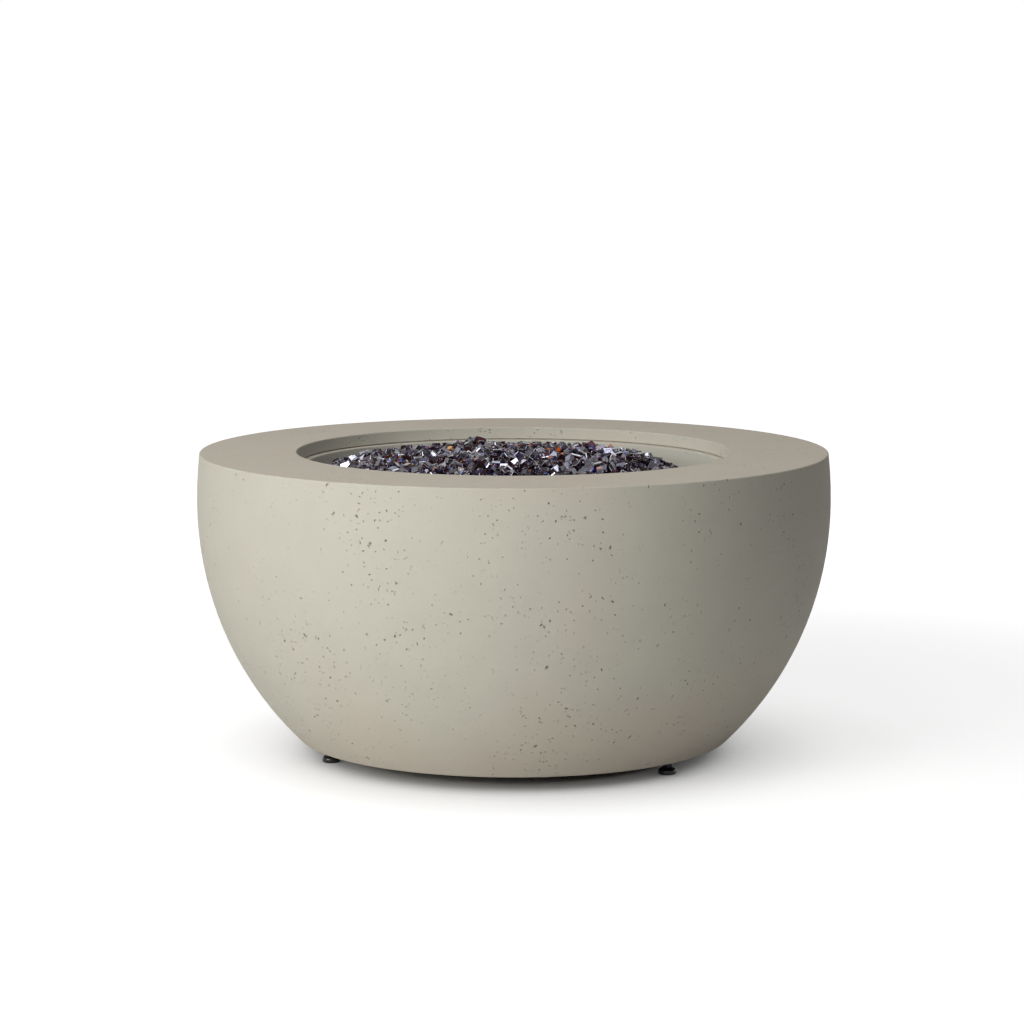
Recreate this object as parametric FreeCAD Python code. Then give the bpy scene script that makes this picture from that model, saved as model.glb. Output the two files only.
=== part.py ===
import FreeCAD, Part
import math
import os

# Round gas fire bowl of cast fibre-reinforced concrete: an open-bottomed bowl on three levelling glides,
# a bonded concrete fire well, a drop-in stainless burner pan with a double-ring burner under lava rock
# and fire glass, and a valve, push-button igniter and gas inlet low on the rear wall.
# Millimetres. The origin is on the bowl's axis at floor level, +Z is up and -Y is the front.

Vector = FreeCAD.Vector
Rotation = FreeCAD.Rotation
Placement = FreeCAD.Placement
UP = Vector(0, 0, 1)

# Bowl
RIM_RADIUS = 457.2  # a 36 in bowl
RIM_TOP = 443.0
FLOOR_GAP = 24.0  # floor to the underside of the concrete
BELLY_RADIUS = 461.3  # the widest place, a little below the rim
BELLY_DROP = 72.7
BELLY_DEPTH = 474.6  # vertical half axis of the ellipse that the bowl follows below the belly
WALL = 22.0
BASE_FLANGE = 26.0
BASE_OPENING_RADIUS = 236.0
OPENING_RADIUS = 316.5  # the mouth in the flat rim, at the top of the lip
LIP_RADIUS = 312.5  # the same at the lip's foot: the lip wall has draft
LIP_HEIGHT = 17.0
SLAB_COVE = 35.0  # inside radius where the rim slab meets the wall
RIM_ARRIS = 2.0
BASE_ARRIS = 3.0

# Fire well, bonded under the rim slab
BOND_GAP = 2.0
BOND_INNER = 314.0  # the groove it leaves under the lip is shallow
BOND_OUTER = 348.0
WELL_RADIUS = 303.6  # 24 in across at its top edge
WELL_FLANGE_RADIUS = 352.0
WELL_FLANGE = 15.0
WELL_THICKNESS = 15.0
SEAT_DROP = 75.0  # rim top to the seat that carries the pan
SEAT_OUTER = 290.0
SEAT_INNER = 262.0
WELL_ARRIS = 2.0
WELL_COVE = 6.0

# Burner pan and burner
SHEET = 1.5
PAN_FLANGE_RADIUS = 286.0
PAN_TOP_RADIUS = 258.0
PAN_FLOOR_RADIUS = 254.0
PAN_DEPTH = 50.0
VENT_RADIUS = 4.0
VENT_CIRCLE = 150.0
VENTS = 8
RING_RADII = (200.0, 100.0)
RING_PORTS = (32, 16)
RING_TUBE = 10.0
ARM_TUBE = 8.0
TUBE_WALL = 1.5
RING_HEIGHT = 27.0  # pan floor underside to the middle of the ring tubes
PORT_RADIUS = 1.3
HUB_RADIUS = 24.0
HUB_HALF = 13.0
POST_RADIUS = 6.0
NIPPLE_RADIUS = 10.5
NIPPLE_BORE = 8.0
NIPPLE_SOCKET = 9.0  # how far the nipple starts above the elbow's middle
LOCKNUT_FLATS = 32.0
LOCKNUT_HEIGHT = 6.0

# Loose media
LAVA_DEPTH = 43.5
LAVA_CLEARANCE = 0.6
HEAP_CROWN = 0.0  # the crown's packed surface is level with the rim: single pieces stand above it
HEAP_FALL = 0.00026  # drop per square millimetre of radius
HEAP_SHOULDER = 185.0  # radius where the crown breaks into the heap's edge
HEAP_EDGE_FALL = 0.0046  # further drop per square millimetre past the shoulder
HEAP_FOOT = 288.0
EDGE_STATIONS = 6
HEAP_REACH = 250.0  # single pieces stand out of the heap within this radius
GLASS_PIECE = (13.0, 13.0, 9.0)
GLASS_PIECES = 210
GOLDEN_ANGLE = 137.508

# Electrode and flame sensor at the burner
SENSOR_RADIUS = 232.0
SENSOR_ASIDE = 10.0
SENSOR_SLOT = (14.0, 40.0)
SENSOR_SCREW = 1.5
BRACKET_WIDTH = 38.0
ELECTRODE_RADIUS = 1.25
LEAD_RADIUS = 1.6

# Controls on the rear wall
CONTROL_HEIGHT = 144.0  # above the floor, where the axes pierce the outer surface
VALVE_AZIMUTH = 90.0
IGNITER_AZIMUTH = 107.0
RUNNING_CLEARANCE = 0.05

# Their heights along each axis: 0 is the outer surface, negative is inside the wall
WALL_INNER_SEAT = -19.5
VALVE_SEAT = -2.5
VALVE_SHOULDER = -22.0
STEM_SHOULDER = -26.0
PLUG_FRONT = -30.0
PORT_LEVEL = -43.0
PLUG_REAR = -54.0
VALVE_REAR = -64.0
NECK_END = 5.0
STEM_END = 26.0
KNOB_BOTTOM = 6.0
KNOB_TOP = 33.0
IGNITER_SEAT = -1.2
IGNITER_TABS = -74.0

# Their radii, and how far the valve's ports reach from its axis
NECK_RADIUS = 9.5
BEZEL_ROOM = 31.0
VALVE_NUT_ROOM = 24.0
VALVE_BODY = 17.0
PLUG_RADII = (8.0, 9.0)  # the taper of the plug's seat, rear and front
STEM_RADIUS = 4.0
TAIL_RADIUS = 3.05
STEM_FLAT = 0.8  # the D flat's depth is measured from here
KNOB_RADIUS = 21.5
KNOB_FLUTES = 15
IGNITER_RADIUS = 11.0
IGNITER_HEAD = 15.0
IGNITER_NUT_ROOM = 20.0
BUTTON_RADIUS = 8.0
CELL_RADIUS = 5.25
SIDE_PORT_REACH = 34.0
SAFETY_PORT_REACH = 30.0

# Gas train
GAS_BORE = 4.0
MIXER_HEIGHT = 262.0
MIXER_RADIUS = 12.5
MIXER_END = 92.0
ELBOW_RADIUS = 14.5
ELBOW_REACH = 24.0
WINDOW = (48.0, 76.0)
SHUTTER_NOTCHES = 18
ORIFICE_END = 114.0
SHIELD_HEIGHT = 287.0
SHIELD_RADIUS = 190.0
SHIELD_SHEET = 1.2
SHIELD_POST_RADIUS = 130.0
SHIELD_SCREW = 2.0
HOSE_RADIUS = 6.5
PIPE_RADIUS = 4.76  # 3/8 in tube
SMALL_FLARE = 7.0
FLARE_REACH = 12.0
NUT_GRIP = 10.0
FLARE_RADIUS = 7.94  # 3/8 in flare end, 5/8 in thread
FLARE_TIP = 30.0
UNION_THREAD = 10.4
UNION_REAR = -24.0
INLET_AZIMUTH = 62.0
INLET_HEIGHT = 84.0
BRACKET_RADIUS = 262.0
BRACKET_PLATE = 2.5
BOLT_CIRCLE = 283.0
BOLT_ASIDE = 17.0

# Feet
FOOT_CIRCLE = 282.0
FOOT_ANGLES = (-39.5, -159.5, 80.5)
PAD_RADIUS = 13.15
PAD_HEIGHT = 9.0
STUD_END = 5.0  # radius of the stud's end that turns in the pad
STUD_RADIUS = 4.0  # M8
STUD_REACH = 20.0  # how far the stud stands up into the concrete
INSERT_RADIUS = 7.0
INSERT_LENGTH = 22.0

BELLY_HEIGHT = RIM_TOP - BELLY_DROP
SLAB_UNDERSIDE = RIM_TOP - LIP_HEIGHT
WELL_TOP = SLAB_UNDERSIDE - BOND_GAP
SEAT_HEIGHT = RIM_TOP - SEAT_DROP
PAN_UNDERSIDE = SEAT_HEIGHT - PAN_DEPTH
PAN_FLOOR = PAN_UNDERSIDE + SHEET
RING_MIDDLE = PAN_UNDERSIDE + RING_HEIGHT
NIPPLE_TOP = RING_MIDDLE - 7.0
TAB_HEIGHT = PAN_FLOOR + 17.0
LAVA_TOP = PAN_FLOOR + LAVA_DEPTH
FLANGE_TOP = FLOOR_GAP + BASE_FLANGE


# ---------------------------------------------------------------- shared shapes

def ellipse_radius(half_width, half_depth, height):
    """Radius of an ellipse of revolution centred at the belly, at a height below it."""
    share = (BELLY_HEIGHT - height) / half_depth
    return half_width * math.sqrt(1.0 - share * share)


def ellipse_arc(half_width, half_depth, height):
    """Meridian from the given height up to the belly."""
    centre = Vector(0, 0, BELLY_HEIGHT)
    lowest = Vector(0, 0, BELLY_HEIGHT - half_depth)
    widest = Vector(half_width, 0, BELLY_HEIGHT)
    start = math.acos((BELLY_HEIGHT - height) / half_depth)
    return Part.ArcOfEllipse(Part.Ellipse(lowest, widest, centre), start, math.pi / 2).toShape()


def line(*stations):
    """Edges through (radius, height) stations."""
    points = [Vector(r, 0, z) for r, z in stations]
    return [Part.LineSegment(a, b).toShape() for a, b in zip(points, points[1:])]


def arc(start, middle, end):
    points = [Vector(r, 0, z) for r, z in (start, middle, end)]
    return [Part.Arc(*points).toShape()]


def spun(edges):
    """Solid of revolution about Z of a closed outline in the XZ plane."""
    outline = Part.Wire(Part.__sortEdges__(edges))
    return Part.Face(outline).revolve(Vector(0, 0, 0), UP, 360)


def turned(*stations):
    """A turned piece from the corners of its half section."""
    return spun(line(*stations, stations[0]))


def rod(radius, low, high, x=0.0, y=0.0):
    return Part.makeCylinder(radius, high - low, Vector(x, y, low), UP)


def tube(outer, inner, low, high):
    return rod(outer, low, high).cut(rod(inner, low, high))


def block(x_size, y_size, low, high, x=0.0, y=0.0):
    """Upright box centred on x, y."""
    return Part.makeBox(x_size, y_size, high - low, Vector(x - x_size / 2, y - y_size / 2, low))


def hexagon(across_flats, low, high, bore=0.0):
    """Hexagon nut or head with turned-off corners."""
    corner = across_flats / math.sqrt(3.0)
    points = [Vector(corner * math.cos(math.radians(a)), corner * math.sin(math.radians(a)), low)
              for a in range(0, 361, 60)]
    prism = Part.Face(Part.makePolygon(points)).extrude(Vector(0, 0, high - low))
    bevel = corner - across_flats / 2
    turning = turned((0, low), (corner - bevel, low), (corner, low + bevel / 2), (corner, high - bevel / 2),
                     (corner - bevel, high), (0, high))
    nut = prism.common(turning)
    return nut.cut(rod(bore, low, high)) if bore else nut


def polar(radius, azimuth, height=0.0, aside=0.0):
    """Point at a radius and azimuth, moved aside along the tangent."""
    angle = math.radians(azimuth)
    outward = Vector(math.cos(angle), math.sin(angle), 0)
    tangent = Vector(-math.sin(angle), math.cos(angle), 0)
    return outward * radius + tangent * aside + Vector(0, 0, height)


def around(shape, azimuth):
    """A copy of a shape modelled over +X, turned about the bowl's axis."""
    return placed(shape, Placement(Vector(0, 0, 0), Rotation(UP, azimuth)))


def placed(shape, placement):
    copy = shape.copy()
    copy.transformShape(placement.toMatrix(), True)
    return copy


def rounded(shape, radius, *rings):
    """Rounds the circular edges that lie at the given (radius, height) pairs."""
    edges = []
    for edge in shape.Edges:
        if not isinstance(edge.Curve, Part.Circle):
            continue
        for ring_radius, height in rings:
            same_size = abs(edge.Curve.Radius - ring_radius) < 0.05
            if same_size and abs(edge.Curve.Center.z - height) < 0.05:
                edges.append(edge)
    return shape.makeFillet(radius, edges)


def routed(points, radius):
    """Round bar along straight runs joined by tangent arcs, each as large as its two runs allow."""
    edges = []
    tightest = math.inf
    start = points[0]
    for before, corner, after in zip(points, points[1:], points[2:]):
        arriving = (corner - before).normalize()
        leaving = (after - corner).normalize()
        half_turn = arriving.getAngle(leaving) / 2
        setback = 0.45 * min((corner - before).Length, (after - corner).Length)
        bend = setback / math.tan(half_turn)
        tightest = min(tightest, bend)
        entry = corner - arriving * setback
        leave = corner + leaving * setback
        inward = (leaving - arriving).normalize()
        middle = corner + inward * (bend / math.cos(half_turn) - bend)
        edges.append(Part.LineSegment(start, entry).toShape())
        edges.append(Part.Arc(entry, middle, leave).toShape())
        start = leave
    edges.append(Part.LineSegment(start, points[-1]).toShape())
    path = Part.Wire(edges)
    section = Part.Wire(Part.makeCircle(radius, points[0], points[1] - points[0]))
    bar = path.makePipeShell([section], True, False)
    share = bar.Volume / (math.pi * radius * radius * path.Length)
    print(f"  route {path.Length:.0f} mm, tightest bend {tightest:.0f} mm, volume share {share:.4f}")
    return bar


def group(shapes):
    return Part.makeCompound(shapes)


def save(name, shape):
    solids = shape.Solids
    body = solids[0] if len(solids) == 1 else Part.makeCompound(solids)
    body.exportStep(f"parts/{name}.step")
    sound = all(solid.isValid() for solid in solids)
    print(f"{name}: {len(solids)} solid(s), {sum(s.Volume for s in solids) / 1000:.1f} cm3, valid {sound}")


# ---------------------------------------------------------------- control stations

def wall_slope(height):
    """Angle below the horizontal at which the bowl's outer surface faces."""
    radius = ellipse_radius(BELLY_RADIUS, BELLY_DEPTH, height)
    across = radius / BELLY_RADIUS ** 2
    down = (BELLY_HEIGHT - height) / BELLY_DEPTH ** 2
    return math.degrees(math.atan2(down, across))


def station(azimuth):
    """Frame on the outer surface: local +Z leaves the wall squarely, local +X is horizontal."""
    slope = math.radians(wall_slope(CONTROL_HEIGHT))
    radius = ellipse_radius(BELLY_RADIUS, BELLY_DEPTH, CONTROL_HEIGHT)
    outward = polar(1, azimuth) * math.cos(slope) - UP * math.sin(slope)
    tangent = polar(0, azimuth, 0, 1)
    turn = Rotation(tangent, outward.cross(tangent), outward, "ZXY")
    return Placement(polar(radius, azimuth, CONTROL_HEIGHT), turn)


VALVE = station(VALVE_AZIMUTH)
IGNITER = station(IGNITER_AZIMUTH)


# ---------------------------------------------------------------- concrete

def control_room(hole, outer_face, outer_seat, inner_face):
    """Hole through the wall with a spot face on each side, as a solid to cut away."""
    through = 3 * WALL
    hole_and_front = rod(hole, -through, through).fuse(rod(outer_face, outer_seat, through))
    return hole_and_front.fuse(rod(inner_face, -through, WALL_INNER_SEAT))


def outer_shell():
    base_outer = (ellipse_radius(BELLY_RADIUS, BELLY_DEPTH, FLOOR_GAP), FLOOR_GAP)
    belly = (BELLY_RADIUS, BELLY_HEIGHT)
    rim = (RIM_RADIUS, RIM_TOP)
    bulge = BELLY_RADIUS - RIM_RADIUS
    arc_radius = (bulge ** 2 + BELLY_DROP ** 2) / (2 * bulge)
    half = math.asin(BELLY_DROP / arc_radius) / 2
    setback = arc_radius * (1 - math.cos(half))
    above_belly = (BELLY_RADIUS - setback, BELLY_HEIGHT + arc_radius * math.sin(half))
    inner_radius = BELLY_RADIUS - WALL
    inner_depth = BELLY_DEPTH - WALL
    cove_start = (inner_radius - SLAB_COVE, SLAB_UNDERSIDE)
    cove_end = (inner_radius, SLAB_UNDERSIDE - SLAB_COVE)
    lean = SLAB_COVE * (1 - math.sqrt(0.5))
    cove_middle = (inner_radius - lean, SLAB_UNDERSIDE - lean)
    inner_base = (ellipse_radius(inner_radius, inner_depth, FLANGE_TOP), FLANGE_TOP)

    edges = [ellipse_arc(BELLY_RADIUS, BELLY_DEPTH, FLOOR_GAP)]
    edges += arc(belly, above_belly, rim)
    edges += line(rim, (OPENING_RADIUS, RIM_TOP), (LIP_RADIUS, SLAB_UNDERSIDE), cove_start)
    edges += arc(cove_start, cove_middle, cove_end)
    edges += line(cove_end, (inner_radius, BELLY_HEIGHT))
    edges.append(ellipse_arc(inner_radius, inner_depth, FLANGE_TOP))
    edges += line(inner_base, (BASE_OPENING_RADIUS, FLANGE_TOP), (BASE_OPENING_RADIUS, FLOOR_GAP), base_outer)
    shell = spun(edges)
    shell = rounded(shell, RIM_ARRIS, rim, (OPENING_RADIUS, RIM_TOP))
    shell = rounded(shell, BASE_ARRIS, base_outer, (BASE_OPENING_RADIUS, FLOOR_GAP))

    valve_room = control_room(NECK_RADIUS + 0.5, BEZEL_ROOM, VALVE_SEAT, VALVE_NUT_ROOM)
    igniter_room = control_room(IGNITER_RADIUS, IGNITER_HEAD + 1.5, IGNITER_SEAT, IGNITER_NUT_ROOM)
    shell = shell.cut(placed(valve_room, VALVE)).cut(placed(igniter_room, IGNITER))
    for angle in FOOT_ANGLES:
        foot_room = insert_body().fuse(rod(STUD_RADIUS + 1, FLOOR_GAP, FLANGE_TOP + 1))
        shell = shell.cut(placed(foot_room, foot_place(angle)))
    return shell.cut(bracket_bolts())


def fire_well():
    outer_top = WELL_RADIUS + WELL_THICKNESS
    flange_under = WELL_TOP - WELL_FLANGE
    seat_under = SEAT_HEIGHT - WELL_THICKNESS
    well = turned((WELL_RADIUS, WELL_TOP), (SEAT_OUTER, SEAT_HEIGHT), (SEAT_INNER, SEAT_HEIGHT),
                  (SEAT_INNER, seat_under), (SEAT_OUTER + WELL_THICKNESS, seat_under),
                  (outer_top, flange_under), (WELL_FLANGE_RADIUS, flange_under), (WELL_FLANGE_RADIUS, WELL_TOP))
    well = rounded(well, WELL_ARRIS, (WELL_RADIUS, WELL_TOP), (SEAT_INNER, SEAT_HEIGHT))
    return rounded(well, WELL_COVE, (SEAT_OUTER + WELL_THICKNESS, seat_under), (outer_top, flange_under))


def well_bond():
    return tube(BOND_OUTER, BOND_INNER, WELL_TOP, SLAB_UNDERSIDE)


# ---------------------------------------------------------------- pan, burner and media

def ring_tube(ring_radius, tube_radius, sides=12):
    """Ring of many-sided tube: its flats keep the mesh of the drilled rings light."""
    corner = tube_radius / math.cos(math.pi / sides)
    corners = []
    for index in range(sides):
        angle = 2 * math.pi * (index + 0.5) / sides
        corners.append((ring_radius + corner * math.cos(angle), RING_MIDDLE + corner * math.sin(angle)))
    return turned(*corners)


def burner_tubes(ring_size, arm_size, hub_size, low, high, sides):
    """The two rings, the four arms and the hub, fused."""
    arm_length = RING_RADII[0]
    body = rod(hub_size, low, high)
    for direction in (Vector(1, 0, 0), Vector(0, 1, 0)):
        start = direction * -arm_length + Vector(0, 0, RING_MIDDLE)
        body = body.fuse(Part.makeCylinder(arm_size, 2 * arm_length, start, direction))
    for ring_radius in RING_RADII:
        body = body.fuse(ring_tube(ring_radius, ring_size, sides))
    return body


def burner():
    hub_low = RING_MIDDLE - HUB_HALF
    hub_high = RING_MIDDLE + HUB_HALF
    body = burner_tubes(RING_TUBE, ARM_TUBE, HUB_RADIUS, hub_low, hub_high, 12)
    bores = (RING_TUBE - TUBE_WALL, ARM_TUBE - TUBE_WALL, NIPPLE_BORE)
    gas_way = burner_tubes(*bores, hub_low - 1, hub_high - 4, 8)
    body = body.cut(gas_way).cut(rod(NIPPLE_RADIUS, hub_low - 1, NIPPLE_TOP))
    ports = []
    for ring_radius, count in zip(RING_RADII, RING_PORTS):
        for index in range(count):
            place = polar(ring_radius, (index + 0.5) * 360.0 / count)
            ports.append(rod(PORT_RADIUS, RING_MIDDLE, RING_MIDDLE + RING_TUBE + 1, place.x, place.y))
    return body.cut(ports)


def burner_supports():
    """Saddle posts that carry the outer ring off the pan's floor."""
    posts = []
    for index in range(4):
        place = polar(RING_RADII[0], 45 + 90 * index)
        post = rod(POST_RADIUS, PAN_FLOOR, RING_MIDDLE, place.x, place.y)
        post = post.cut(ring_tube(RING_RADII[0], RING_TUBE))
        lowest = min(post.Solids, key=lambda solid: solid.CenterOfMass.z)
        posts.append(lowest.common(rod(POST_RADIUS + 1, PAN_FLOOR, NIPPLE_TOP, place.x, place.y)))
    return group(posts)


def sensor_slot():
    """Slot through the pan for the electrode and the flame sensor."""
    slot = block(*SENSOR_SLOT, PAN_UNDERSIDE - 5, PAN_FLOOR + 5, SENSOR_RADIUS, 0)
    return around(slot, IGNITER_AZIMUTH)


def burner_pan():
    flange_top = SEAT_HEIGHT + SHEET
    pan = turned((PAN_FLANGE_RADIUS, SEAT_HEIGHT), (PAN_TOP_RADIUS, SEAT_HEIGHT),
                 (PAN_FLOOR_RADIUS, PAN_UNDERSIDE), (NIPPLE_RADIUS, PAN_UNDERSIDE), (NIPPLE_RADIUS, PAN_FLOOR),
                 (PAN_FLOOR_RADIUS - SHEET, PAN_FLOOR), (PAN_TOP_RADIUS - SHEET, flange_top),
                 (PAN_FLANGE_RADIUS, flange_top))
    vents = []
    for index in range(VENTS):
        place = polar(VENT_CIRCLE, (index + 0.5) * 360 / VENTS)
        vents.append(rod(VENT_RADIUS, PAN_UNDERSIDE - 5, PAN_FLOOR + 5, place.x, place.y))
    return pan.cut(vents).cut(sensor_slot()).cut(shield_screws()).cut(sensor_screws())


def burner_nipple():
    return tube(NIPPLE_RADIUS, NIPPLE_BORE, MIXER_HEIGHT + NIPPLE_SOCKET, NIPPLE_TOP)


def nipple_locknuts():
    above = hexagon(LOCKNUT_FLATS, PAN_FLOOR, PAN_FLOOR + LOCKNUT_HEIGHT, NIPPLE_RADIUS)
    below = hexagon(LOCKNUT_FLATS, PAN_UNDERSIDE - LOCKNUT_HEIGHT, PAN_UNDERSIDE, NIPPLE_RADIUS)
    return group([above, below])


def lava_rock_bed():
    """Rock levelled round the burner: open channels hold the rings and arms."""
    bed = turned((HUB_RADIUS + 2, PAN_FLOOR), (PAN_FLOOR_RADIUS - SHEET - 0.5, PAN_FLOOR),
                 (PAN_TOP_RADIUS - SHEET - 1.1, LAVA_TOP), (HUB_RADIUS + 2, LAVA_TOP))
    for ring_radius in RING_RADII:
        wide = RING_TUBE + LAVA_CLEARANCE
        bed = bed.cut(ring_tube(ring_radius, wide))
        bed = bed.cut(tube(ring_radius + wide, ring_radius - wide, RING_MIDDLE, LAVA_TOP + 1))
    arm_wide = ARM_TUBE + LAVA_CLEARANCE
    reach = 2 * RING_RADII[0]
    for size in ((reach, 2 * arm_wide), (2 * arm_wide, reach)):
        bed = bed.cut(block(*size, RING_MIDDLE - arm_wide, LAVA_TOP + 1))
    for index in range(4):
        place = polar(RING_RADII[0], 45 + 90 * index)
        bed = bed.cut(rod(POST_RADIUS + LAVA_CLEARANCE, PAN_FLOOR - 1, RING_MIDDLE, place.x, place.y))
    notch = block(50, 52, PAN_FLOOR - 1, LAVA_TOP + 1, SENSOR_RADIUS + 8, 0)
    return bed.cut(around(notch, IGNITER_AZIMUTH)).cut(shield_screws())


def heap_height(radius):
    past_shoulder = max(0.0, radius - HEAP_SHOULDER)
    return RIM_TOP + HEAP_CROWN - HEAP_FALL * radius ** 2 - HEAP_EDGE_FALL * past_shoulder ** 2


def fire_glass_bed():
    """Crowned heap with the tops of its uppermost glass pieces standing out of it."""
    shoulder = (HEAP_SHOULDER, heap_height(HEAP_SHOULDER))
    half = HEAP_SHOULDER / 2
    edges = arc((0, heap_height(0)), (half, heap_height(half)), shoulder)
    step = (HEAP_FOOT - HEAP_SHOULDER) / EDGE_STATIONS
    edge_radii = [HEAP_SHOULDER + step * (index + 1) for index in range(EDGE_STATIONS)]
    edge = [(radius, heap_height(radius)) for radius in edge_radii]
    pan_top = SEAT_HEIGHT + SHEET
    edges += line(shoulder, *edge, (HEAP_FOOT, pan_top), (PAN_TOP_RADIUS - SHEET - 1, pan_top),
                  (PAN_TOP_RADIUS - SHEET - 1.5, LAVA_TOP), (0, LAVA_TOP), (0, heap_height(0)))
    heap = spun(edges)
    pieces = []
    for index in range(GLASS_PIECES):
        radius = HEAP_REACH * math.sqrt((index + 0.5) / GLASS_PIECES)
        azimuth = index * GOLDEN_ANGLE
        lift = 2.0 * math.sin(2.3 * index) - 2.5
        piece = Part.makeBox(*GLASS_PIECE, Vector(*(-size / 2 for size in GLASS_PIECE)))
        lean = Rotation(UP, 61.0 * index) * Rotation(Vector(1, 0.4, 0), 14 + 30 * math.sin(1.7 * index))
        place = polar(radius, azimuth, heap_height(radius) + lift)
        pieces.append(placed(piece, Placement(place, lean)))
    return heap.multiFuse(pieces).removeSplitter()


# ---------------------------------------------------------------- sensors at the burner

def at_sensor(aside):
    return Placement(polar(SENSOR_RADIUS, IGNITER_AZIMUTH, 0, aside), Rotation(UP, IGNITER_AZIMUTH))


def sensor_bracket():
    """Bent strip: a foot on the pan's floor, an upright, and a tab with two holes."""
    tab = block(20.5, BRACKET_WIDTH, TAB_HEIGHT, TAB_HEIGHT + SHEET, 2.25, 0)
    upright = block(SHEET, BRACKET_WIDTH, PAN_FLOOR, TAB_HEIGHT, 11.75, 0)
    foot = block(8.0, BRACKET_WIDTH, PAN_FLOOR, PAN_FLOOR + SHEET, 15.0, 0)
    bracket = placed(tab.fuse(upright).fuse(foot), at_sensor(0))
    bracket = bracket.cut(placed(rod(4, 0, RIM_TOP), at_sensor(-SENSOR_ASIDE)))
    bracket = bracket.cut(placed(rod(3, 0, RIM_TOP), at_sensor(SENSOR_ASIDE)))
    return bracket.cut(sensor_screws()).removeSplitter()


def sensor_screws():
    screws = []
    for aside in (-13.0, 13.0):
        head_low = PAN_FLOOR + SHEET
        screw = rod(SENSOR_SCREW, PAN_UNDERSIDE - 4, head_low).fuse(rod(2.6, head_low, head_low + 2))
        screws.append(placed(screw, Placement(polar(248, IGNITER_AZIMUTH, 0, aside), Rotation())))
    return group(screws)


def electrode_insulator():
    tab_top = TAB_HEIGHT + SHEET
    body = turned((ELECTRODE_RADIUS, 300), (4, 300), (4, tab_top), (5.2, tab_top), (5.2, tab_top + 3),
                  (4, tab_top + 4), (3, 348), (ELECTRODE_RADIUS, 348))
    return placed(body, at_sensor(-SENSOR_ASIDE))


def electrode_rod():
    low = polar(SENSOR_RADIUS, IGNITER_AZIMUTH, 292, -SENSOR_ASIDE)
    bend = polar(SENSOR_RADIUS, IGNITER_AZIMUTH, 356, -SENSOR_ASIDE)
    tip = polar(SENSOR_RADIUS - 16, IGNITER_AZIMUTH, 358, -SENSOR_ASIDE)
    return routed([low, bend, tip], ELECTRODE_RADIUS)


def thermocouple_probe():
    tab_top = TAB_HEIGHT + SHEET
    body = turned((0, 297), (3, 297), (3, tab_top), (4.2, tab_top), (4.2, tab_top + 3), (2.6, tab_top + 3),
                  (2.6, 350), (1.6, 353), (0, 353))
    return placed(body, at_sensor(SENSOR_ASIDE))


# ---------------------------------------------------------------- shield and mixer

def heat_shield():
    rim = SHIELD_RADIUS
    top = SHIELD_HEIGHT + SHIELD_SHEET
    upstand = SHIELD_HEIGHT + 10
    shield = turned((NIPPLE_RADIUS + 1.5, SHIELD_HEIGHT), (rim, SHIELD_HEIGHT), (rim, upstand),
                    (rim - SHIELD_SHEET, upstand), (rim - SHIELD_SHEET, top), (NIPPLE_RADIUS + 1.5, top))
    return shield.cut(shield_screws())


def shield_posts():
    posts = []
    for index in range(4):
        post = hexagon(9, SHIELD_HEIGHT + SHIELD_SHEET, PAN_UNDERSIDE, SHIELD_SCREW)
        posts.append(placed(post, Placement(polar(SHIELD_POST_RADIUS, 45 + 90 * index), Rotation())))
    return group(posts)


def shield_screws():
    screws = []
    for index in range(4):
        shank = rod(SHIELD_SCREW, SHIELD_HEIGHT - 0.1, PAN_FLOOR)
        heads = rod(3.8, SHIELD_HEIGHT - 2.6, SHIELD_HEIGHT).fuse(rod(3.8, PAN_FLOOR, PAN_FLOOR + 2.5))
        screw = shank.fuse(heads)
        screws.append(placed(screw, Placement(polar(SHIELD_POST_RADIUS, 45 + 90 * index), Rotation())))
    return group(screws)


# The mixer lies along +Y: its pieces are turned about Z and laid down by this placement
ALONG_Y = Placement(Vector(0, 0, MIXER_HEIGHT), Rotation(Vector(1, 0, 0), -90))


def nipple_elbow():
    upright = rod(ELBOW_RADIUS, MIXER_HEIGHT, MIXER_HEIGHT + 20)
    level = placed(rod(ELBOW_RADIUS, 0, ELBOW_REACH), ALONG_Y)
    corner = Part.makeSphere(ELBOW_RADIUS, Vector(0, 0, MIXER_HEIGHT))
    body = upright.fuse(level).fuse(corner).removeSplitter()
    passage = rod(NIPPLE_BORE, MIXER_HEIGHT, MIXER_HEIGHT + 21)
    passage = passage.fuse(placed(rod(NIPPLE_BORE, 0, 25), ALONG_Y))
    passage = passage.fuse(Part.makeSphere(NIPPLE_BORE, Vector(0, 0, MIXER_HEIGHT)))
    socket = rod(NIPPLE_RADIUS, MIXER_HEIGHT + NIPPLE_SOCKET, MIXER_HEIGHT + 21)
    return body.cut(passage).cut(socket).cut(placed(rod(NIPPLE_RADIUS, 12, 25), ALONG_Y))


def mixer_windows():
    low, high = WINDOW
    return block(60, 12, low + 4, high - 4)


def air_mixer():
    """Venturi tube: a spigot in the elbow, a waisted bore and two air windows."""
    body = turned((NIPPLE_BORE, 12), (NIPPLE_RADIUS, 12), (NIPPLE_RADIUS, ELBOW_REACH),
                  (MIXER_RADIUS, ELBOW_REACH), (MIXER_RADIUS, MIXER_END), (8, MIXER_END), (8, 80), (9.5, 80),
                  (9.5, 50), (6.5, 36), (NIPPLE_BORE, 20))
    return placed(body.cut(mixer_windows()), ALONG_Y)


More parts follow.
